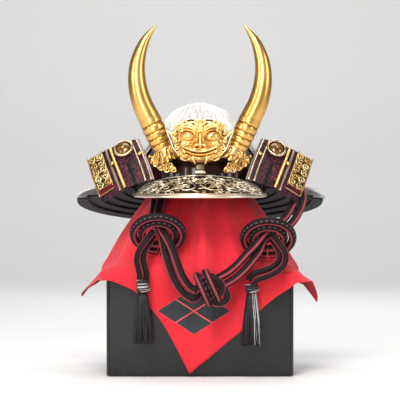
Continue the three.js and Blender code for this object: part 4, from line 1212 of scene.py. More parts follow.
lines, widths = visor_scrolls()
plate = sheet_piece(
    "visor_ground",
    lambda u, v: visor_surface(u, v),
    lambda u, v: visor_surface(u, v) - np.array([0, 0, 1.6]),
    120,
    16,
    tone=lambda u, v: 0.13 + 0.3 * (v > 0.93),
)
wear(plate, "pale", "carved_pale_gold", "visor_plate")
vines = laid_tubes(
    "visor_vines", lines, visor_surface, widths, 0.35, sides=6,
    tones=[float(dice.uniform(0.62, 1.0)) for _ in lines],
)
wear(vines, "pale", "carved_pale_gold")
edge_u = np.linspace(0.03, 0.97, 120)
edges = [
    (visor_surface(edge_u, np.full(120, v), lift), np.full(120, r))
    for v, lift, r in ((0.955, 0.6, 0.8), (0.06, 0.5, 0.8))
]
edging = gather_tubes("visor_inner_edges", edges, 8, tones=[0.95, 0.85])
wear(edging, "pale", "carved_pale_gold")


def rolled_rim():
    u = np.linspace(0.035, 0.965, 140)
    points = visor_surface(u, np.ones(140))
    turn = np.radians(-80 + 160 * u)
    points[:, 0] += 2.8 * np.sin(turn)
    points[:, 1] -= 2.8 * np.cos(turn)
    points[:, 2] -= 1.4
    return gather_tubes("visor_rolled_rim", [(points, np.full(140, 2.15))], 14, tones=[0.9])


wear(rolled_rim(), "pale", "gold", "visor_rim")
print("visor scroll lines:", len(lines))

# %% [markdown]
# ## Neck guard
# Five lames hang round the back, each tucked under the one above. On the real guard every lame is a row of
# lacquered scales hidden by close upright lacing, so each lame is a bent strip whose outside is ribbed like
# a row of flat braids, with a rounded lower lip. The last lame's lip is a little uneven, as laced edges are.


# %% Build the lames
lames, lace_count = 5, 118
neck = {
    "half_turn": 98, "inner_x": 93.5, "inner_y": 103.5, "grow_x": 82, "grow_y": 77,
    "rim_z": 252, "rim_slope": 0.15, "back_z": 211, "front_rise": 31.5,
    "overlap": 1.16, "sag": 1.12, "tuck": 2.6, "wall": 2,
}


def neck_surface(lame, lift, ridge=0.0):
    """u goes from the right front round the back to the left, v down one lame."""

    def surface(u, v):
        turn = np.radians(-neck["half_turn"] + 2 * neck["half_turn"] * u)
        s = np.minimum(1, (lame + v * neck["overlap"]) / lames)
        c, d = np.sin(turn), np.cos(turn)
        reach_x, reach_y = neck["inner_x"] + neck["grow_x"] * s, neck["inner_y"] + neck["grow_y"] * s
        inner = neck["rim_z"] - neck["rim_slope"] * d * neck["inner_y"] - neck["wall"]
        outer = neck["back_z"] + neck["front_rise"] * (1 - d)
        rib = np.abs(np.sin(np.pi * u * lace_count)) ** 0.6
        lip = hump(v - 0.93, 0.06) * 0.9
        ragged = 0.7 * np.sin(u * 210 + lame) * np.sin(u * 57 + 2 * lame) * ease((v - 0.8) / 0.2)
        z = (
            inner + (outer - inner) * s ** neck["sag"] + neck["tuck"] * (lames - 1 - lame) + lift
            + ridge * (rib - 0.6) + np.sign(ridge) * (lip + ragged * 0.5)
        )
        grow = ragged * (ridge > 0)
        return np.stack([c * (reach_x + grow), d * (reach_y + grow), z], -1)

    return surface


finishes["lacing"] = braid_finish(
    "black_lacing", (0.002, 0.0016, 0.002), (0.010, 0.006, 0.008), (0.016, 0.004, 0.007),
    (0.022, 0.019, 0.019), 0.03, (lace_count, 9.0),
)
for lame in range(lames):
    name = f"laced_lame_{lame + 1}"
    piece = sheet_piece(name, neck_surface(lame, 0.35, 0.55), neck_surface(lame, -neck["wall"]), 590, 8)
    wear(piece, "lacing", "black_lacing", f"neck_lame_{lame + 1}")
print("lames: 5, points each:", len(piece.data.vertices))

# %% [markdown]
# ## Turn-backs
# The top lame's front ends are turned out beside the face. Each is faced with printed leather, crossed by
# gilt strips, a twisted rope strip and a carved gold end plate, and carries a round boss and two small
# knobs. Everything here lies on one bent panel, so each part is drawn in the panel's own u and v and
# lifted along its normal.


# %% The turn-back's surface
panel_inner = {"low": (65, 272), "high": (89, 331)}
panel_outer = {"low": (137, 240), "high": (160, 300)}


def turnback(mirror):
    def surface(u, v, lift=0.0):
        u, v = np.broadcast_arrays(np.asarray(u, float), np.asarray(v, float))

        def flat(u, v):
            arch = np.sin(np.pi * u)
            (low_x, low_z), (high_x, high_z) = (
                [a + (b - a) * u for a, b in zip(panel_inner[edge], panel_outer[edge])]
                for edge in ("low", "high")
            )
            low_z, high_z = low_z + 5 * arch, high_z + 3 * arch
            x = low_x + (high_x - low_x) * v + 3 * np.sin(np.pi * v) * (u - 0.5)
            y = -86 + 46 * np.maximum(0, v) ** 1.1 + 24 * u**2 - 7 * arch
            return np.stack([mirror * x, y, low_z + (high_z - low_z) * v], -1)

        small = 1e-3
        across = flat(u + small, v) - flat(u - small, v)
        up = flat(u, v + small) - flat(u, v - small)
        normal = np.cross(across, up) * mirror
        normal /= np.linalg.norm(normal, axis=-1)[..., None]
        return flat(u, v) + normal * np.asarray(lift, float)[..., None], normal

    return surface


def on_panel(mirror):
    surface = turnback(mirror)
    return lambda u, v, lift=0.0: surface(u, v, lift)[0]


def panel_strip(name, mirror, u0, u1, v0, v1, thick, nu=8, nv=40, tone=None, round_top=True):
    laid = on_panel(mirror)

    def front(u, v):
        crown = (1 - (2 * u - 1) ** 4) if round_top else 1.0
        return laid(u0 + (u1 - u0) * u, v0 + (v1 - v0) * v, 0.5 + (thick - 0.1) * crown)

    return sheet_piece(
        name, front, lambda u, v: laid(u0 + (u1 - u0) * u, v0 + (v1 - v0) * v, 0.45 + 0 * u), nu, nv,
        tone=tone,
    )


def leather_finish():
    finish, tree, shader = start_finish(
        "printed_leather", roughness=0.5, coat_weight=0.05, coat_roughness=0.3, specular_ior_level=0.2
    )
    grid = put(tree, "ShaderNodeUVMap", uv_map="UVMap").outputs["UV"]
    net = put(
        tree, "ShaderNodeTexVoronoi", {"Vector": grid, "Scale": 15.0, "Randomness": 0.75},
        feature="DISTANCE_TO_EDGE",
    )
    touch = place_group(tree, handling, {"Scale": 90.0, "Low": 0.42, "High": 0.62})
    line = span(tree, net.outputs["Distance"], 0.085, 0.03)
    broken = sums(tree, "MULTIPLY", line, span(tree, touch.outputs["Cloud"], 0.35, 0.6, 0.35, 1.0))
    body = ramp(tree, touch.outputs["Cloud"], [(0.3, (0.006, 0.002, 0.004)), (0.7, (0.024, 0.006, 0.014))])
    parts = put(tree, "ShaderNodeSeparateXYZ", {"Vector": grid})
    from_band = sums(tree, "ABSOLUTE", sums(tree, "SUBTRACT", parts.outputs["X"], 0.335))
    band = sums(
        tree, "MULTIPLY", span(tree, from_band, 0.036, 0.028), span(tree, parts.outputs["Y"], 0.62, 0.5)
    )
    colour = blend(tree, broken, body, (0.14, 0.030, 0.045, 1))
    colour = blend(tree, band, colour, (0.004, 0.003, 0.004, 1))
    feed(tree, shader, base_color=colour, roughness=touch.outputs["Roughness"])
    bump(tree, shader, sums(tree, "SUBTRACT", touch.outputs["Grain"], line), 0.5, 0.25)
    return finish


finishes["leather"] = leather_finish()
print("turn-back surface ready")


# %% Studs: turned pieces that stand on a panel
def stud(name, surface, u, v, rows, segments=28, lift=0.0, ribs=None, tone=None):
    place, normal = surface(np.array(u), np.array(v), np.array(lift))
    rows = np.asarray(rows, float)
    turn = np.arange(segments) * 2 * np.pi / segments
    radius = np.broadcast_to(rows[:, :1], (len(rows), segments))
    if ribs is not None:
        radius = radius * (1 + ribs(turn)[None, :] * (rows[:, :1] > 0.6 * rows[:, 0].max()))
    high = np.array([0.0, 0, 1]) - normal * normal[2]
    high /= np.linalg.norm(high)
    wide = np.cross(high, normal)
    points = place + radius[..., None] * (
        np.cos(turn)[:, None] * wide + np.sin(turn)[:, None] * high
    ) + rows[:, 1][:, None, None] * normal
    shades = None if tone is None else np.repeat(tone, segments)
    piece = mesh_piece(name, points, grid_faces(len(rows), segments, close=True), tone=shades)
    face_outwards(piece)
    return piece


def domed(radius, high, base=0.0, steps=7):
    a = np.radians(np.linspace(0, 90, steps))
    return [(radius * math.cos(k), base + high * math.sin(k)) for k in a[:-1]] + [(0, base + high)]


knob_rows = [(0, 0), (0.9, 0), (0.9, 2.6), (2.5, 2.8)] + [(r, z) for r, z in domed(3.3, 2.7, 3.2)]
ring_rows = [
    (10.6, 0), (14.2, 0), (14.3, 1.2), (13.9, 2.6), (12.9, 3.7), (11.7, 3.6), (11.0, 2.6), (10.6, 1.6),
    (10.6, 0),
]
dome_rows = [(0, 0), (10.2, 0), (10.2, 1.0)] + domed(10.0, 4.0, 1.1, 9)
print("stud profiles ready")


# %% Enamelled dome and red toe
def amber_finish():
    finish, tree, shader = start_finish(
        "amber_enamel", roughness=0.18, coat_weight=0.6, coat_roughness=0.05, metallic=0.15
    )
    place = put(tree, "ShaderNodeTexCoord").outputs["Object"]
    fleck = put(tree, "ShaderNodeTexVoronoi", {"Vector": place, "Scale": 420.0}, feature="DISTANCE_TO_EDGE")
    cloud = put(tree, "ShaderNodeTexNoise", {"Vector": place, "Scale": 160.0, "Detail": 3.0})
    colour = ramp(tree, cloud.outputs["Fac"], [(0.35, (0.035, 0.010, 0.002)), (0.72, (0.24, 0.095, 0.014))])
    colour = blend(
        tree, span(tree, fleck.outputs["Distance"], 0.08, 0.02, 0.0, 0.4), colour, (0.60, 0.33, 0.08, 1)
    )
    feed(tree, shader, base_color=colour)
    return finish


finishes["amber"] = amber_finish()
finishes["red_lacquer"] = lacquer_finish("maroon_lacquer", (0.045, 0.003, 0.004), (0.14, 0.010, 0.014), 0.3)
finishes["edge_braid"] = braid_finish(
    "edge_braid", (0.42, 0.38, 0.34), (0.60, 0.56, 0.51), (0.55, 0.03, 0.05), (0.10, 0.02, 0.06),
    0.10, (1.0, 1.0),
)


def build_turnback(side, mirror):
    surface, laid = turnback(mirror), on_panel(mirror)
    panel = sheet_piece(
        f"turned_panel_{side}", lambda u, v: laid(u, v, 0.0 * u), lambda u, v: laid(u, v, -2.0 + 0 * u), 60,
        40,
    )
    wear(panel, "leather", "printed_leather", f"turnback_panel_{side}")
    wear(
        panel_strip(f"gilt_edge_{side}", mirror, 0.01, 0.05, 0.02, 0.985, 1.9, tone=lambda u, v: 0.9 + 0 * u),
        "pale",
        "carved_pale_gold",
        f"turnback_edge_strip_{side}",
    )
    for label, u0, u1, thick, node in (
        ("inner", 0.115, 0.165, 2.2, "inner_strip"), ("outer", 0.6, 0.645, 2.1, "outer_strip")
    ):
        piece = panel_strip(
            f"gilt_{label}_{side}", mirror, u0, u1, 0.02, 0.985, thick, 10, 60, lambda u,
            v: 0.86 - 0.7 * hump(np.abs(u - 0.5) - 0.28, 0.07),
        )
        wear(piece, "pale", "gold", f"turnback_{node}_{side}")
    t = np.linspace(0.03, 0.98, 130)
    rope = []
    for phase in (0, 2.1, 4.2):
        swing = phase + t * 2 * np.pi * 9
        rope.append(
            (laid(0.5275 + 0.012 * np.cos(swing), t, 1.75 + 0.75 * np.sin(swing)), np.full(130, 1.25))
        )
    wear(
        gather_tubes(f"gilt_rope_{side}", rope, 8, tones=[0.95, 0.8, 0.9]), "gold", "gold",
        f"turnback_rope_strip_{side}",
    )
    return surface, laid


def build_end_plate(side, mirror, laid):
    ground = panel_strip(
        f"end_plate_{side}", mirror, 0.7, 0.995, 0.25, 0.985, 0.9, 24, 40, lambda u, v: 0.26 + 0.6 * (
            (u < 0.05) | (u > 0.95) | (v > 0.96)
        ), False
    )
    wear(ground, "carved", "gold", f"turnback_filigree_{side}")
    toe = panel_strip(f"end_toe_{side}", mirror, 0.7, 0.995, 0.13, 0.245, 1.1, 16, 10, None, False)
    wear(toe, "red_lacquer", "gold")
    lines, widths = [], []
    for row, v in enumerate(np.linspace(0.32, 0.92, 5)):
        for column, u in enumerate((0.775, 0.915)):
            flip = 1 if (row + column) % 2 else -1
            flat = spiral_line((0, 0), math.radians(90) * flip, 1.35, 0.068, flip)
            lines.append(np.stack([u + flat[:, 0], v + flat[:, 1]], -1))
            widths.append(1.3)
            for _ in range(3):
                a = dice.uniform(0, 6.28)
                t = np.linspace(0, 1, 7)
                leaf_line = np.stack(
                    [
                        u + 0.05 * np.cos(a) + 0.035 * t * np.cos(a + t),
                        v + 0.06 * np.sin(a) + 0.04 * t * np.sin(a + t),
                    ],
                    -1,
                )
                lines.append(leaf_line)
                widths.append(0.8)
    border = np.array([(0.712, 0.26), (0.712, 0.975), (0.985, 0.975), (0.985, 0.26), (0.712, 0.26)])
    path, _ = through(np.column_stack([np.repeat(border, 4, 0), np.zeros(20)]), 150)
    lines.append(path[:, :2])
    widths.append(0.75)
    t = np.linspace(0, 1, 30)
    lines += [
        np.stack([0.705 + 0.285 * t, 0.135 + 0 * t], -1), np.stack([0.985 + 0 * t, 0.135 + 0.11 * t], -1)
    ]
    widths += [0.9, 0.9]
    tones = [float(dice.uniform(0.6, 1.0)) for _ in lines]
    vines = laid_tubes(f"end_vines_{side}", lines, laid, widths, 1.45, tones=tones)
    wear(vines, "carved", "gold")


for side, mirror in SIDES:
    surface, laid = build_turnback(side, mirror)
    build_end_plate(side, mirror, laid)
    petals = lambda a: 0.10 * np.abs(np.cos(a * 4)) - 0.08
    for label, u, v in (("outer", 0.578, 0.62), ("inner", 0.082, 0.62)):
        # each knob's tone rises from its stem to its top: painted shade under its cap
        piece = stud(
            f"{label}_knob_{side}", surface, u, v, knob_rows, 32, 0.4, petals,
            np.linspace(0.4, 1, len(knob_rows)),
        )
        wear(piece, "gold", "gold", f"turnback_{label}_knob_{side}")
    # the ring is darkest on its inner wall beside the dome: painted shade in the gap
    rim = stud(
        f"boss_rim_{side}", surface, 0.31, 0.83, ring_rows, 96, 3.6,
        lambda a: 0.035 * np.abs(np.cos(a * 8)) - 0.03,
        np.array([0.4, 0.5, 0.65, 0.78, 0.74, 0.6, 0.3, 0.1, 0.2]),
    )
    wear(rim, "pale", "carved_pale_gold", f"turnback_boss_ring_{side}")
    dome = stud(f"boss_dome_{side}", surface, 0.31, 0.83, dome_rows, 64, 3.6)
    wear(dome, "amber", "amber_enamel", f"turnback_boss_dome_{side}")
    bead = stud(
        f"boss_bead_{side}", surface, 0.31, 0.83, [(0, 0), (1.5, 0)] + domed(1.6, 1.2, 0.3), 20, 8.2,
        tone=np.ones(9),
    )
    wear(bead, "gold", "gold")
    seat = stud(f"boss_seat_{side}", surface, 0.31, 0.83, [(0, 0), (8.0, 0), (8.0, 3.2), (0, 3.2)], 40, 0.2)
    wear(seat, "black_lacquer", "carved_pale_gold")
    t = np.linspace(0.02, 0.98, 160)
    edge_line = laid(np.full(160, -0.012), t, -0.6 + 0 * t)
    braid = braid_tube(f"edge_braid_{side}", edge_line, 1.7, (0, -1, 0), sides=12, turn_length=2.4)
    wear(braid, "edge_braid", "printed_leather")
print("turn-backs built")

# %% [markdown]
# ## Lion-demon mask
# The mask is a gilt casting: bulging eyes under curled brows, a broad nose, a wide crescent of teeth, small
# fangs and pointed ears, of the kind that armourers have long used. A sculptor would work in clay; here the
# face is a height over the plane, built from soft humps, rings and ridges, and the curls, fangs and ears
# are tapering tubes laid on it. The hollows are found by comparing each height with its neighbours', and
# are darkened as painted shade, together with the old patina of a casting.


# %% The face as a height over its back plane
mask_back_y = -113.8
mask_rows = [
    (8, 296), (22, 300), (29, 305.5), (31.5, 313), (32.5, 321), (33.5, 331), (33.5, 341), (30, 350),
    (14, 355.5),
]


def face_height(x, z):
    a = np.abs(x)
    spot = lambda cx, cz, wx, wz, out: out * hump(a - cx, wx) * hump(z - cz, wz)
    # the whole head and the middle of the forehead
    high = spot(0, 326, 30, 30, 9.0) + spot(0, 335, 8, 14, 1.5)
    # brows that dip towards the nose
    brow = 345.6 - 0.031 * (a - 20.5) ** 2
    across = ease((a - 4) / 3) * ease((31 - a) / 4)
    high += across * (4.4 * hump(z - brow, 2.3) + 1.2 * hump(z - brow + 4.6, 0.9))
    # eyeballs, with a lid above each and a faint dent
    eye = np.hypot((a - 18.0) / 8.8, (z - 332.2) / 6.6)
    high += 5.8 * np.sqrt(np.clip(1 - eye**2, 0, 1)) - 0.4 * hump(eye - 1.12, 0.12)
    high += (
        1.4 * hump(eye - 1.32, 0.14) * ease((z - 330.5) / 5) - 0.5 * hump(np.hypot(a - 16.6, z - 331.0), 1.6)
    )
    # frown lines, the nose's ridge, its tip and its wings
    high += 1.3 * hump(a - 2.9, 1.0) * hump(z - 343.5, 4.5)
    high += 3.8 * hump(a, 2.7) * ease((z - 321) / 6) * ease((341 - z) / 8)
    high += spot(0, 321.2, 4.9, 3.9, 6.6) + spot(7.4, 319.6, 3.5, 3.0, 5.4) - spot(4.4, 316.8, 1.5, 0.9, 3.4)
    # cheeks, jaws, upper lip and the folds beside it
    high += (
        spot(23.5, 322.0, 5.5, 3.4, 3.8) + spot(21.5, 303.5, 6.0, 3.8, 3.4) + spot(7.0, 313.4, 6.5, 2.0, 2.2)
    )
    fold = 322.5 - 0.03 * np.clip(a - 8, 0, None) ** 1.9
    high += 2.0 * hump(z - fold, 1.2) * ease((a - 8) / 4) * ease((30 - a) / 4)
    # a row of teeth between two lips, then the chin
    mouth = 306.6 + 0.0125 * a**2
    within = ease((25 - a) / 5)
    teeth = np.abs(np.sin(np.pi * a / 3.7)) ** 0.5
    high += within * hump(z - mouth, 1.9) * (0.6 + 2.8 * teeth)
    high -= within * (1.2 * hump(z - mouth - 2.7, 0.5) + 1.2 * hump(z - mouth + 2.6, 0.5))
    high += within * (2.6 * hump(z - mouth - 4.3, 1.1) + 2.4 * hump(z - mouth + 4.2, 1.1))
    high += spot(0, 299.5, 7.5, 2.8, 3.6)
    return high


def face_place(u, v):
    row = table(mask_rows, v)
    x = row[..., 0] * (2 * u - 1)
    z = row[..., 1]
    edge = np.minimum.reduce([np.ones_like(x), 7 * u, 7 * (1 - u), 8 * v, 8 * (1 - v)])
    return x, z, np.clip(edge, 0, 1) ** 0.55


def face_front(u, v):
    x, z, edge = face_place(u, v)
    return np.stack([x, mask_back_y - 2.6 - face_height(x, z) * edge, z], -1)


def face_tone(u, v):
    x, z, edge = face_place(u, v)
    high = face_height(x, z) * edge
    near = sum(face_height(x + dx, z + dz) * edge for dx in (-2.2, 0, 2.2) for dz in (-2.2, 0, 2.2)) / 9
    # lower than its neighbours is darker, painted shade over patina; higher is lighter, as rubbed
    tone = 0.70 + 0.24 * (high - near)
    # painted shade between the locks over the brows
    tone *= 1 - 0.85 * ease((z - 346.5) / 1.5) * ease((np.abs(x) - 4) / 3)
    # painted shade between the curls of the side mane
    tone *= 1 - 0.7 * ease((np.abs(x) - 28.5) / 2) * ease((z - 305) / 3)
    return np.clip(tone, 0.0, 1.0)


def on_face(x, z, lift):
    """Points on the face at x and z, lifted off it; outside the face they lie on the back plate."""
    wide = np.interp(z, [r[1] for r in mask_rows], [r[0] for r in mask_rows])
    near = np.clip(5 * (1 - np.abs(x) / wide), 0, 1)
    near = near * np.clip((355.5 - z) / 5, 0, 1) * np.clip((z - 296) / 5, 0, 1)
    return np.stack([x, mask_back_y - 1.8 - face_height(x, z) * near - lift, z], -1)


face = sheet_piece(
    "demon_face", face_front, lambda u, v: face_front(u, v) * [1, 0, 1] + [0, mask_back_y, 0], 150, 140,
    tone=face_tone,
)
wear(face, "gold", "gold", "demon_mask")
print("face points:", len(face.data.vertices))

# %% Curls, brows, moustache, fangs and ears


def curl(start, end, bulge, eye_turns, eye, flip=1, count=40):
    """A tapering curl in the plane: an arc from start to end that winds into an eye."""
    start, end = np.asarray(start, float), np.asarray(end, float)
    t = np.linspace(0, 1, count // 2)[:, None]
    across = np.array([-(end - start)[1], (end - start)[0]])
    arc = start + (end - start) * t + across * bulge * np.sin(np.pi * t)
    heading = arc[-1] - arc[-2]
    a0 = math.atan2(heading[1], heading[0]) - flip * math.pi / 2
    s = np.linspace(0, 1, count // 2)
    angle = a0 + flip * 2 * np.pi * eye_turns * s
    reach = eye * (1 - 0.75 * s)
    hub = arc[-1] - eye * np.array([math.cos(a0), math.sin(a0)])
    winding = hub + reach[:, None] * np.stack([np.cos(angle), np.sin(angle)], -1)
    return np.concatenate([arc, winding[1:]])


face_curls = [  # start, end, bulge, turns of the eye, its size, which way it winds, thickness, lift
    ((5, 341.5), (27, 345), 0.26, 1.0, 3.6, -1, 2.1, 1.0),  # brow
    ((4, 346.5), (13.5, 351.5), 0.22, 1.15, 3.3, -1, 1.7, 1.2),
    ((14.5, 347.5), (25, 352.0), 0.22, 1.15, 3.5, -1, 1.7, 1.2),
    ((27, 346.5), (33.5, 346.5), 0.30, 1.1, 2.9, -1, 1.6, 0.8),
    ((1.2, 349), (5.5, 354.5), 0.25, 1.0, 2.3, -1, 1.3, 0.9),
    ((4.5, 315.8), (24, 319.0), -0.14, 1.15, 3.0, 1, 1.8, 0.9),  # moustache
    ((8, 325.4), (25, 327.0), -0.12, 0.6, 2.0, 1, 1.0, 0.6),
    ((30.5, 341), (36.5, 337.5), 0.20, 1.0, 2.6, -1, 1.5, 0.8),  # side mane
    ((30.5, 331), (36.0, 327.5), 0.20, 1.0, 2.8, -1, 1.6, 0.8),
    ((29.5, 322), (34.0, 317.5), 0.20, 1.0, 2.7, -1, 1.6, 0.8),
    ((27.5, 313), (30.5, 308.5), 0.22, 1.0, 2.6, -1, 1.5, 0.6),
    ((12, 303.0), (25, 301.0), -0.20, 1.1, 2.7, 1, 1.7, 0.8),  # beard
    ((4.5, 300.5), (12.0, 299.0), -0.3, 0.9, 1.9, 1, 1.2, 0.6),
]


curls, curl_tones = [], []
for *shape, thick, lift in face_curls:
    line = curl(*shape)
    for mirror in (1, -1):
        t = np.linspace(0, 1, len(line))
        curls.append(
            (
                on_face(mirror * line[:, 0], line[:, 1], lift),
                thick * (0.5 + 0.5 * np.sin(np.pi * (0.12 + 0.8 * t))),
            )
        )
        curl_tones.append(0.93)
wear(gather_tubes("mask_curls", curls, 8, tones=curl_tones), "gold", "gold")

horny = []
for mirror in (1, -1):
    t = np.linspace(0, 1, 16)
    fang = np.stack([mirror * (9.6 - 3.2 * t**2), mask_back_y - 8.5 + 1.5 * t, 305.0 - 11.4 * t], -1)
    horny.append((fang, 2.2 * (1 - t) ** 0.6 + 0.2))
    tusk = np.stack(
        [mirror * (21.0 + 3.2 * t), mask_back_y - 8.5 + 1.0 * t, 309.5 + 7.0 * t - 1.0 * t**2], -1
    )
    horny.append((tusk, 1.4 * (1 - t) ** 0.7 + 0.12))
wear(gather_tubes("mask_fangs", horny, 12, tones=[1.0] * 4), "gold", "gold")

ears = []
for mirror in (1, -1):
    t = np.linspace(0, 1, 20)
    outer = np.stack([mirror * (33.5 + 14.0 * t), mask_back_y - 3.0 + 1.0 * t, 327.5 + 13.8 * t**0.85], -1)
    ears.append((outer, 1.7 * (1 - t) ** 0.6 + 0.3))
    top = np.stack(
        [mirror * (33.0 + 14.2 * t), mask_back_y - 3.0 + 1.0 * t, 338.5 + 3.0 * t - 3.2 * np.sin(np.pi * t)],
        -1,
    )
    ears.append((top, 1.7 * (1 - t) ** 0.6 + 0.3))
    core = np.stack([mirror * (33.5 + 10.0 * t), mask_back_y - 1.4 + 0.5 * t, 333 + 6.0 * t], -1)
    ears.append((core, 3.2 * (1 - t) ** 0.7 + 0.3))
# the ear's core lies back between its edges and gets a low tone: painted shade in the ear's hollow
wear(gather_tubes("mask_ears", ears, 10, tones=[1.0, 1.0, 0.3] * 2), "gold", "gold")
print("curls:", len(curls))

# %% Back plate with its bright rim
half = [
    (0, 299), (11, 299.3), (22, 301.5), (31, 308.5), (37, 315.5), (40.5, 325), (44, 333), (47.2, 341.2),
    (41, 338.8), (36, 336.5),
]
half += [(35, 342), (31, 349), (25, 351.5), (20, 353), (10, 354), (0, 354)]
outline = np.array(half + [(-x, z) for x, z in half[-2:0:-1]])


def plate_surface(y):
    def surface(u, v):
        place = u * len(outline)
        low = np.floor(place).astype(int)
        share = (place - low)[..., None]
        edge = outline[low % len(outline)] * (1 - share) + outline[(low + 1) % len(outline)] * share
        spot = np.array([0, 326]) + (edge - [0, 326]) * v[..., None]
        return np.stack([spot[..., 0], np.full(u.shape, float(y)), spot[..., 1]], -1)

    return surface


plate = sheet_piece(
    "mask_plate", plate_surface(-113.4), plate_surface(-111.4), 180, 10, close=True, tone=lambda u,
    v: 0.25 + 0 * u,
)
wear(plate, "pale", "carved_pale_gold", "mask_backplate")
low_edge = np.array([(-x, z) for x, z in half[7::-1]] + half[1:8])
rim_line, _ = through(
    np.column_stack([low_edge[:, 0] * 0.985, np.full(len(low_edge), -114.6), low_edge[:, 1] + 0.4]), 170
)
wear(gather_tubes("mask_rim", [(rim_line, np.full(170, 1.25))], 10, tones=[1.0]), "pale", "carved_pale_gold")
print("plate and rim done")

# %% [markdown]
# ## Horns
# The great horns are hollow metal, spun and bent, with a satin gold that runs from a bright middle to deep
# orange edges. A few broad ribs ring each root, and a collar of flame-like leaves hides where it is fixed.
# One swept tube with a table of middles and radii gives the curve; the ribs are part of its radius.

# %% Sweep the horns
horn_rows = [  # distance from the middle, height, radius
    (51.5, 318, 14.2), (57.5, 330, 15.2), (64, 344, 15.6), (72.5, 362, 15.0), (80, 378, 14.3),
    (85, 395, 13.3), (87.4, 411.5, 12.3), (87.2, 429, 10.9), (83.8, 446.5, 9.1), (77.4, 463.5, 6.8),
    (69.4, 476.5, 4.0), (60.8, 487, 0.7),
]
root_share, root_rings, horn_sides = 0.262, 5, 44


def horn_piece(side, mirror):
    t = np.linspace(0, 1, 190)
    row = table(horn_rows, t)
    path = np.stack([mirror * row[:, 0], -95 - 6 * np.sin(np.pi * t), row[:, 1]], -1)
    root = ease((0.265 - t) / 0.03)
    ring = t / root_share * root_rings
    groove = np.exp(-((np.abs((ring + 0.5) % 1.0 - 0.5) / 0.10) ** 2))
    radii = row[:, 2] + root * (0.55 - 1.25 * groove - 0.5 * (ring % 1.0))
    points, faces = tube_mesh(path, radii, horn_sides)
    # the grooves between the root's ribs get a low tone: painted shade
    tone = np.repeat(np.clip(0.80 - root * 0.75 * groove, 0, 1), horn_sides)
    piece = mesh_piece(f"great_horn_{side}", points, faces, tone=np.concatenate([tone, [0.5, 0.9]]))
    face_outwards(piece)
    return wear(piece, "horn", "gold", f"horn_{side}")


def flame_collar(side, mirror):
    """A ring, and leaves that lick up, out and down from it."""
    centre = np.array([mirror * 47.2, -97.4, 309.5])
    axis = np.array([mirror * 0.42, 0.0, 0.91])
    out_x, out_y = np.array([0.91, 0.0, -mirror * 0.42]), np.array([0.0, -1.0, 0.0])
    tubes, tones, hints = [], [], []
    for level, radius, thick in ((6.4, 14.6, 1.3), (-8.6, 11.5, 1.6)):
        a = np.linspace(0, 2 * np.pi, 90)
        ring = centre + axis * level + radius * (np.cos(a)[:, None] * out_x + np.sin(a)[:, None] * out_y)
        tubes.append((ring, np.full(90, thick)))
        tones.append(0.85)
        hints.append(tuple(axis))
    tiers = (
        (6.0, 14.8, 12.5, 8, 5.4, 0.95), (4.0, 13.6, 16.5, 8, 5.2, 0.5), (-2.0, 12.4, 13.5, 8, 4.4, 0.85)
    )
    for tier, (level, reach, drop, count, wide, tone) in enumerate(tiers):
        for k in range(count):
            a = 2 * math.pi * (k + 0.5 * (tier % 2) + 0.15) / count
            radial = math.cos(a) * out_x + math.sin(a) * out_y
            around = -math.sin(a) * out_x + math.cos(a) * out_y
            t = np.linspace(0, 1, 18)[:, None]
            out = 2.6 * np.sin(np.pi * t * 0.6) + 5.0 * t**4 - 3.5 * t
            line = (
                centre + axis * (level - drop * t + 2.6 * t**5) + radial * (reach + out)
                + around * (2.8 * t**2 - 0.6)
            )
            width = wide * np.sin(np.pi * (0.22 + 0.76 * t[:, 0])) ** 0.85 * (1 - 0.45 * t[:, 0]) + 0.15
            tubes += [(line, width), (line + radial * 0.30 * width[:, None], 0.20 * width + 0.1)]
            tones += [tone * float(dice.uniform(0.75, 0.95)), 1.0]
            hints += [tuple(around), tuple(around)]
    leaves = gather_tubes(f"flame_collar_{side}", tubes, 8, 0.26, tones, hints)
    core = [
        (centre + axis * s, r)
        for s, r in ((-7.4, 10.5), (-6, 12.4), (-3, 13.4), (0, 13.8), (4, 13.9), (5.6, 13.2))
    ]
    points, faces = tube_mesh([c for c, _ in core], np.array([r for _, r in core]), 40)
    # the core, seen between the leaves, gets a near-zero tone: painted shade under the leaves
    body = mesh_piece(f"collar_body_{side}", points, faces, tone=np.full(len(points), 0.04))
    face_outwards(body)
    wear(leaves, "gold", "gold")
    return wear(body, "gold", "gold", f"horn_collar_{side}")


def scroll_work(side, mirror):
    """Small curls between the collar and the visor."""
    spots = [
        (37, 286, 4.6), (45.5, 286.5, 4.4), (54, 289, 4.2), (61.5, 293.5, 3.6), (40.5, 293.5, 4.0),
        (49, 295, 4.2), (57.5, 298, 4.0), (64.5, 301.5, 3.2),
    ]
    lines = []
    for k, (x, z, size) in enumerate(spots):
        lines.append((spiral_line((x, z), 0.9 * k, 1.4, size, -1 if k % 2 else 1), 1.35))
        lines.append(
            (curl((x - size, z - 1), (x + 1.5 * size, z + 2.5), 0.25 if k % 2 else -0.25, 0.8, 1.6), 1.0)
        )
    tubes = []
    for k, (line, thick) in enumerate(lines):
        t = np.linspace(0, 1, len(line))
        away = -99.4 + 0.06 * np.clip(line[:, 0] - 30, 0, None) ** 1.2 - 0.9 * (k % 2) - 0.15 * k
        path = np.stack([mirror * line[:, 0], away, line[:, 1]], -1)
        tubes.append((path, thick * (0.45 + 0.55 * np.sin(np.pi * (0.1 + 0.8 * t)))))
    return wear(
        gather_tubes(f"scroll_work_{side}", tubes, 9, tones=[0.95, 0.5] * len(spots)), "gold", "gold",
        f"scroll_{side}",
    )


for side, mirror in SIDES:
    horn_piece(side, mirror)
    flame_collar(side, mirror)
    scroll_work(side, mirror)

# %% [markdown]
# ## Crest clip
# The clip that holds the mask is a small flat tube with a rolled lip, standing on the visor's middle.

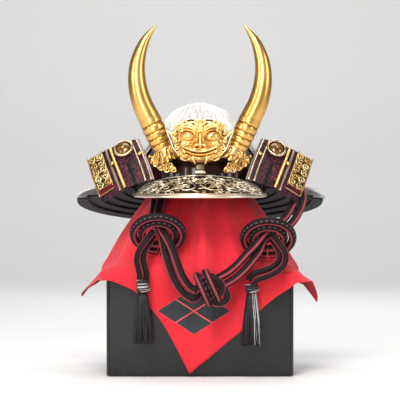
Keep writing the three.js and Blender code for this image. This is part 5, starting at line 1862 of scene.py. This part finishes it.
# %% Build the clip
clip_rows = [
    (0.1, 0.1, 281.0), (7.6, 4.7, 281.0), (8.0, 5.0, 281.8), (8.0, 5.0, 284.2), (7.2, 4.4, 285.0),
    (6.4, 4.0, 285.6),
]
clip_rows += [(6.1, 3.9, 288.0), (6.1, 3.9, 292.2), (5.7, 3.6, 293.3), (0.1, 0.1, 293.5)]


def clip_surface():
    turn = np.arange(48) * 2 * np.pi / 48
    c, s = np.cos(turn), np.sin(turn)
    square = (np.abs(c) ** 5 + np.abs(s) ** 5) ** -0.2
    points = np.concatenate(
        [np.stack([x * square * c, -104.6 + y * square * s, np.full(48, z)], -1) for x, y, z in clip_rows]
    )
    # darkest in the step above the rolled lip, painted shade in that crease; the neck above stays darker than
    # the lip
    tone = np.repeat([0.4, 0.7, 0.8, 0.8, 0.3, 0.1, 0.22, 0.22, 0.25, 0.3], 48)
    piece = mesh_piece("crest_clip", points, grid_faces(len(clip_rows), 48, close=True), tone=tone)
    face_outwards(piece)
    return piece


wear(clip_surface(), "pale", "gold", "crest_holder")
print("clip done")

# %% [markdown]
# ## White hair
# A mane of white yak hair hangs from the top of the bowl: short in front, where it ends behind the mask,
# and long at the sides and back, where it falls over the neck guard. It is built as hair is dressed: a
# dense under-layer with combed grooves, then flat locks, then loose strands whose ends are uneven. All
# three follow one surface, which is a fall of height against reach, turned about the helmet.

# %% The fall of the hair
hair_rows = [  # half-width, depth, height at the sides, height at the back
    (0, 0, 383.5, 383.5), (25, 27, 374.8, 374.8), (39, 43, 366.5, 366.5), (50, 55, 354, 354),
    (63, 69.5, 338, 338), (76, 84, 318, 318), (89, 98, 297, 295), (99, 110, 281, 272),
    (116, 128, 271, 254), (140, 150, 264.5, 240), (163, 172, 259.5, 226), (180, 188, 250, 211),
]
short_front, part_turn, part_blend = 0.36, 108, 24


def hair_surface(u, v, lift=0.0):
    """u goes once round from the front, v from the crown to the ends; lift is outwards."""
    turn = 2 * np.pi * u - np.pi
    falls = ease((part_turn - np.abs(np.degrees(turn))) / part_blend)
    t = v * (short_front + (1 - short_front) * falls)
    row = table(hair_rows, t)
    thin = -lift * (1 - 0.4 * t)
    pull = 0.75 * thin * np.clip(9 * t, 0, 1)
    x = np.maximum(0, row[..., 0] - pull) * np.sin(turn)
    y = np.maximum(0, row[..., 1] - pull) * np.cos(turn)
    z = row[..., 2] + (row[..., 3] - row[..., 2]) * np.cos(turn) ** 2 - 0.8 * thin
    return np.stack([x, y, z], -1)


def combed(u, v):
    """Grooves between bunches of hair: 0 in a groove, 1 on a bunch."""
    turn = 2 * np.pi * u
    sway = 0.5 * np.sin(3 * turn + 5 * v) + 0.35 * np.sin(7 * turn - 6 * v)
    coarse = np.abs(np.sin(29 * turn / 2 + 1.2 * sway + 1.0 * v)) ** 0.6
    fine = np.abs(np.sin(61 * turn / 2 - 1.5 * sway)) ** 0.8
    return (0.65 * coarse + 0.35 * fine) * np.clip(6 * v, 0, 1) + (1 - np.clip(6 * v, 0, 1))


under = sheet_piece(
    "hair_under_layer",
    lambda u, v: hair_surface(u, v, 1.6 * combed(u, v) - 2.4),
    lambda u, v: hair_surface(u, v, -4.0),
    300,
    42,
    close=True,
    # the combed grooves get a low tone: painted shade between the bunches
    tone=lambda u, v: 0.2 + 0.8 * combed(u, v),
)

# %% Locks and strands


def strand_bundle(name, start_u, v_from, v_to, lift, wander, radius, sides, rings, flat=1.0):
    """Many tapering strands at once: each keeps near its place round the head and sways as it falls."""
    t = np.linspace(0, 1, rings)[None, :]
    n = len(start_u)
    phase, beat = dice.uniform(0, 6.28, (2, n, 1))
    v = v_from[:, None] + (v_to - v_from)[:, None] * t
    sway = wander * (np.sin(5.5 * v + phase) * 0.6 + np.sin(11 * v + beat) * 0.25) * (0.25 + v)
    u = start_u[:, None] + sway
    height = lift[:, None] * (0.45 + 0.55 * np.sin(np.pi * np.clip(0.15 + 0.85 * t, 0, 1)))
    path = hair_surface(u, np.clip(v, 0.004, 1.0), height)
    drop = np.clip(v - 1.0, 0, None)[..., None]
    path = path + drop * np.stack(
        [30 * np.sin(2 * np.pi * u - np.pi), 30 * np.cos(2 * np.pi * u - np.pi), -90 + 0 * u], -1
    )
    ahead = np.gradient(path, axis=1)
    ahead /= np.linalg.norm(ahead, axis=2)[..., None]
    out = hair_surface(
        u, np.clip(v, 0.004, 1.0), height + 1
    ) - hair_surface(u, np.clip(v, 0.004, 1.0), height)
    side = np.cross(ahead, out)
    side /= np.linalg.norm(side, axis=2)[..., None]
    out = np.cross(side, ahead)
    thick = radius[:, None] * np.clip(np.sin(np.pi * (0.1 + 0.88 * t)) ** 0.6, 0.08, 1)
    around = np.arange(sides) * 2 * np.pi / sides
    rim = np.cos(around)[:, None] * side[:, :, None, :] + flat * np.sin(around)[:, None] * out[:, :, None, :]
    points = path[:, :, None, :] + thick[..., None, None] * rim
    quads = np.array(grid_faces(rings, sides, close=True))
    faces = (quads[None] + (np.arange(n) * rings * sides)[:, None, None]).reshape(-1, 4).tolist()
    ends = np.arange(sides)
    for k in range(n):
        base = k * rings * sides
        faces.append((base + ends[::-1]).tolist())
        faces.append((base + (rings - 1) * sides + ends).tolist())
    tone = np.repeat(dice.uniform(0.45, 1.0, n), rings * sides)
    return mesh_piece(name, points.reshape(-1, 3), faces, tone=tone)


def scattered(count, longest):
    """Places round the head, and where along the fall each lock starts and ends."""
    u = (np.arange(count) + dice.uniform(-0.4, 0.4, count)) / count
    start = dice.choice(
        [0.01, 0.08, 0.22, 0.42], count, p=[0.4, 0.25, 0.2, 0.15]
    ) + dice.uniform(0, 0.05, count)
    falls = ease((108 - np.abs(360 * u - 180)) / 24)
    end = 1 + (longest - 1) * falls + dice.normal(0, 0.022, count)
    return u % 1.0, start, np.maximum(end, start + 0.3)


u, start, end = scattered(380, 1.01)
locks = strand_bundle(
    "hair_locks", u, start, end, dice.uniform(-0.6, 1.2, 380), 0.012, dice.uniform(2.0, 3.6, 380), 6, 16, 0.34
)
u, start, end = scattered(1450, 1.03)
strands = strand_bundle(
    "hair_strands", u, start, end, dice.uniform(0.2, 2.6, 1450), 0.02, dice.uniform(0.32, 0.7, 1450), 3, 12
)

# %% [markdown]
# Hair is nearly white but never flat: the bunches keep the white and the gaps between them are painted a
# warm grey as shade.


# %% Hair finish
def hair_finish():
    finish, tree, shader = start_finish(
        "white_hair", roughness=0.5, sheen_weight=0.1, sheen_roughness=0.4, specular_ior_level=0.35
    )
    # low tone is painted shade in the under-layer's grooves; the locks' and strands' tones differ at random
    body = ramp(
        tree, tone_of(tree),
        [(0.0, (0.28, 0.262, 0.248)), (0.5, (0.64, 0.627, 0.612)), (1.0, (0.9, 0.895, 0.89))],
    )
    touch = place_group(tree, handling, {"Scale": 60.0, "Low": 0.36, "High": 0.55})
    greyed = blend(
        tree, span(tree, touch.outputs["Cloud"], 0.3, 0.8), body, (0.88, 0.865, 0.84, 1), "MULTIPLY"
    )
    feed(tree, shader, base_color=greyed, roughness=touch.outputs["Roughness"])
    bump(tree, shader, touch.outputs["Grain"], 0.2, 0.1)
    return finish


finishes["hair"] = hair_finish()
wear(under, "hair", "white_hair", "hair_cover")
wear(locks, "hair", "white_hair")
wear(strands, "hair", "white_hair")
total = sum(len(p.vertices) - 2 for o in bpy.data.objects if o.type == "MESH" for p in o.data.polygons)
print("hair pieces:", [len(o.data.polygons) for o in (under, locks, strands)], "all triangles:", total)
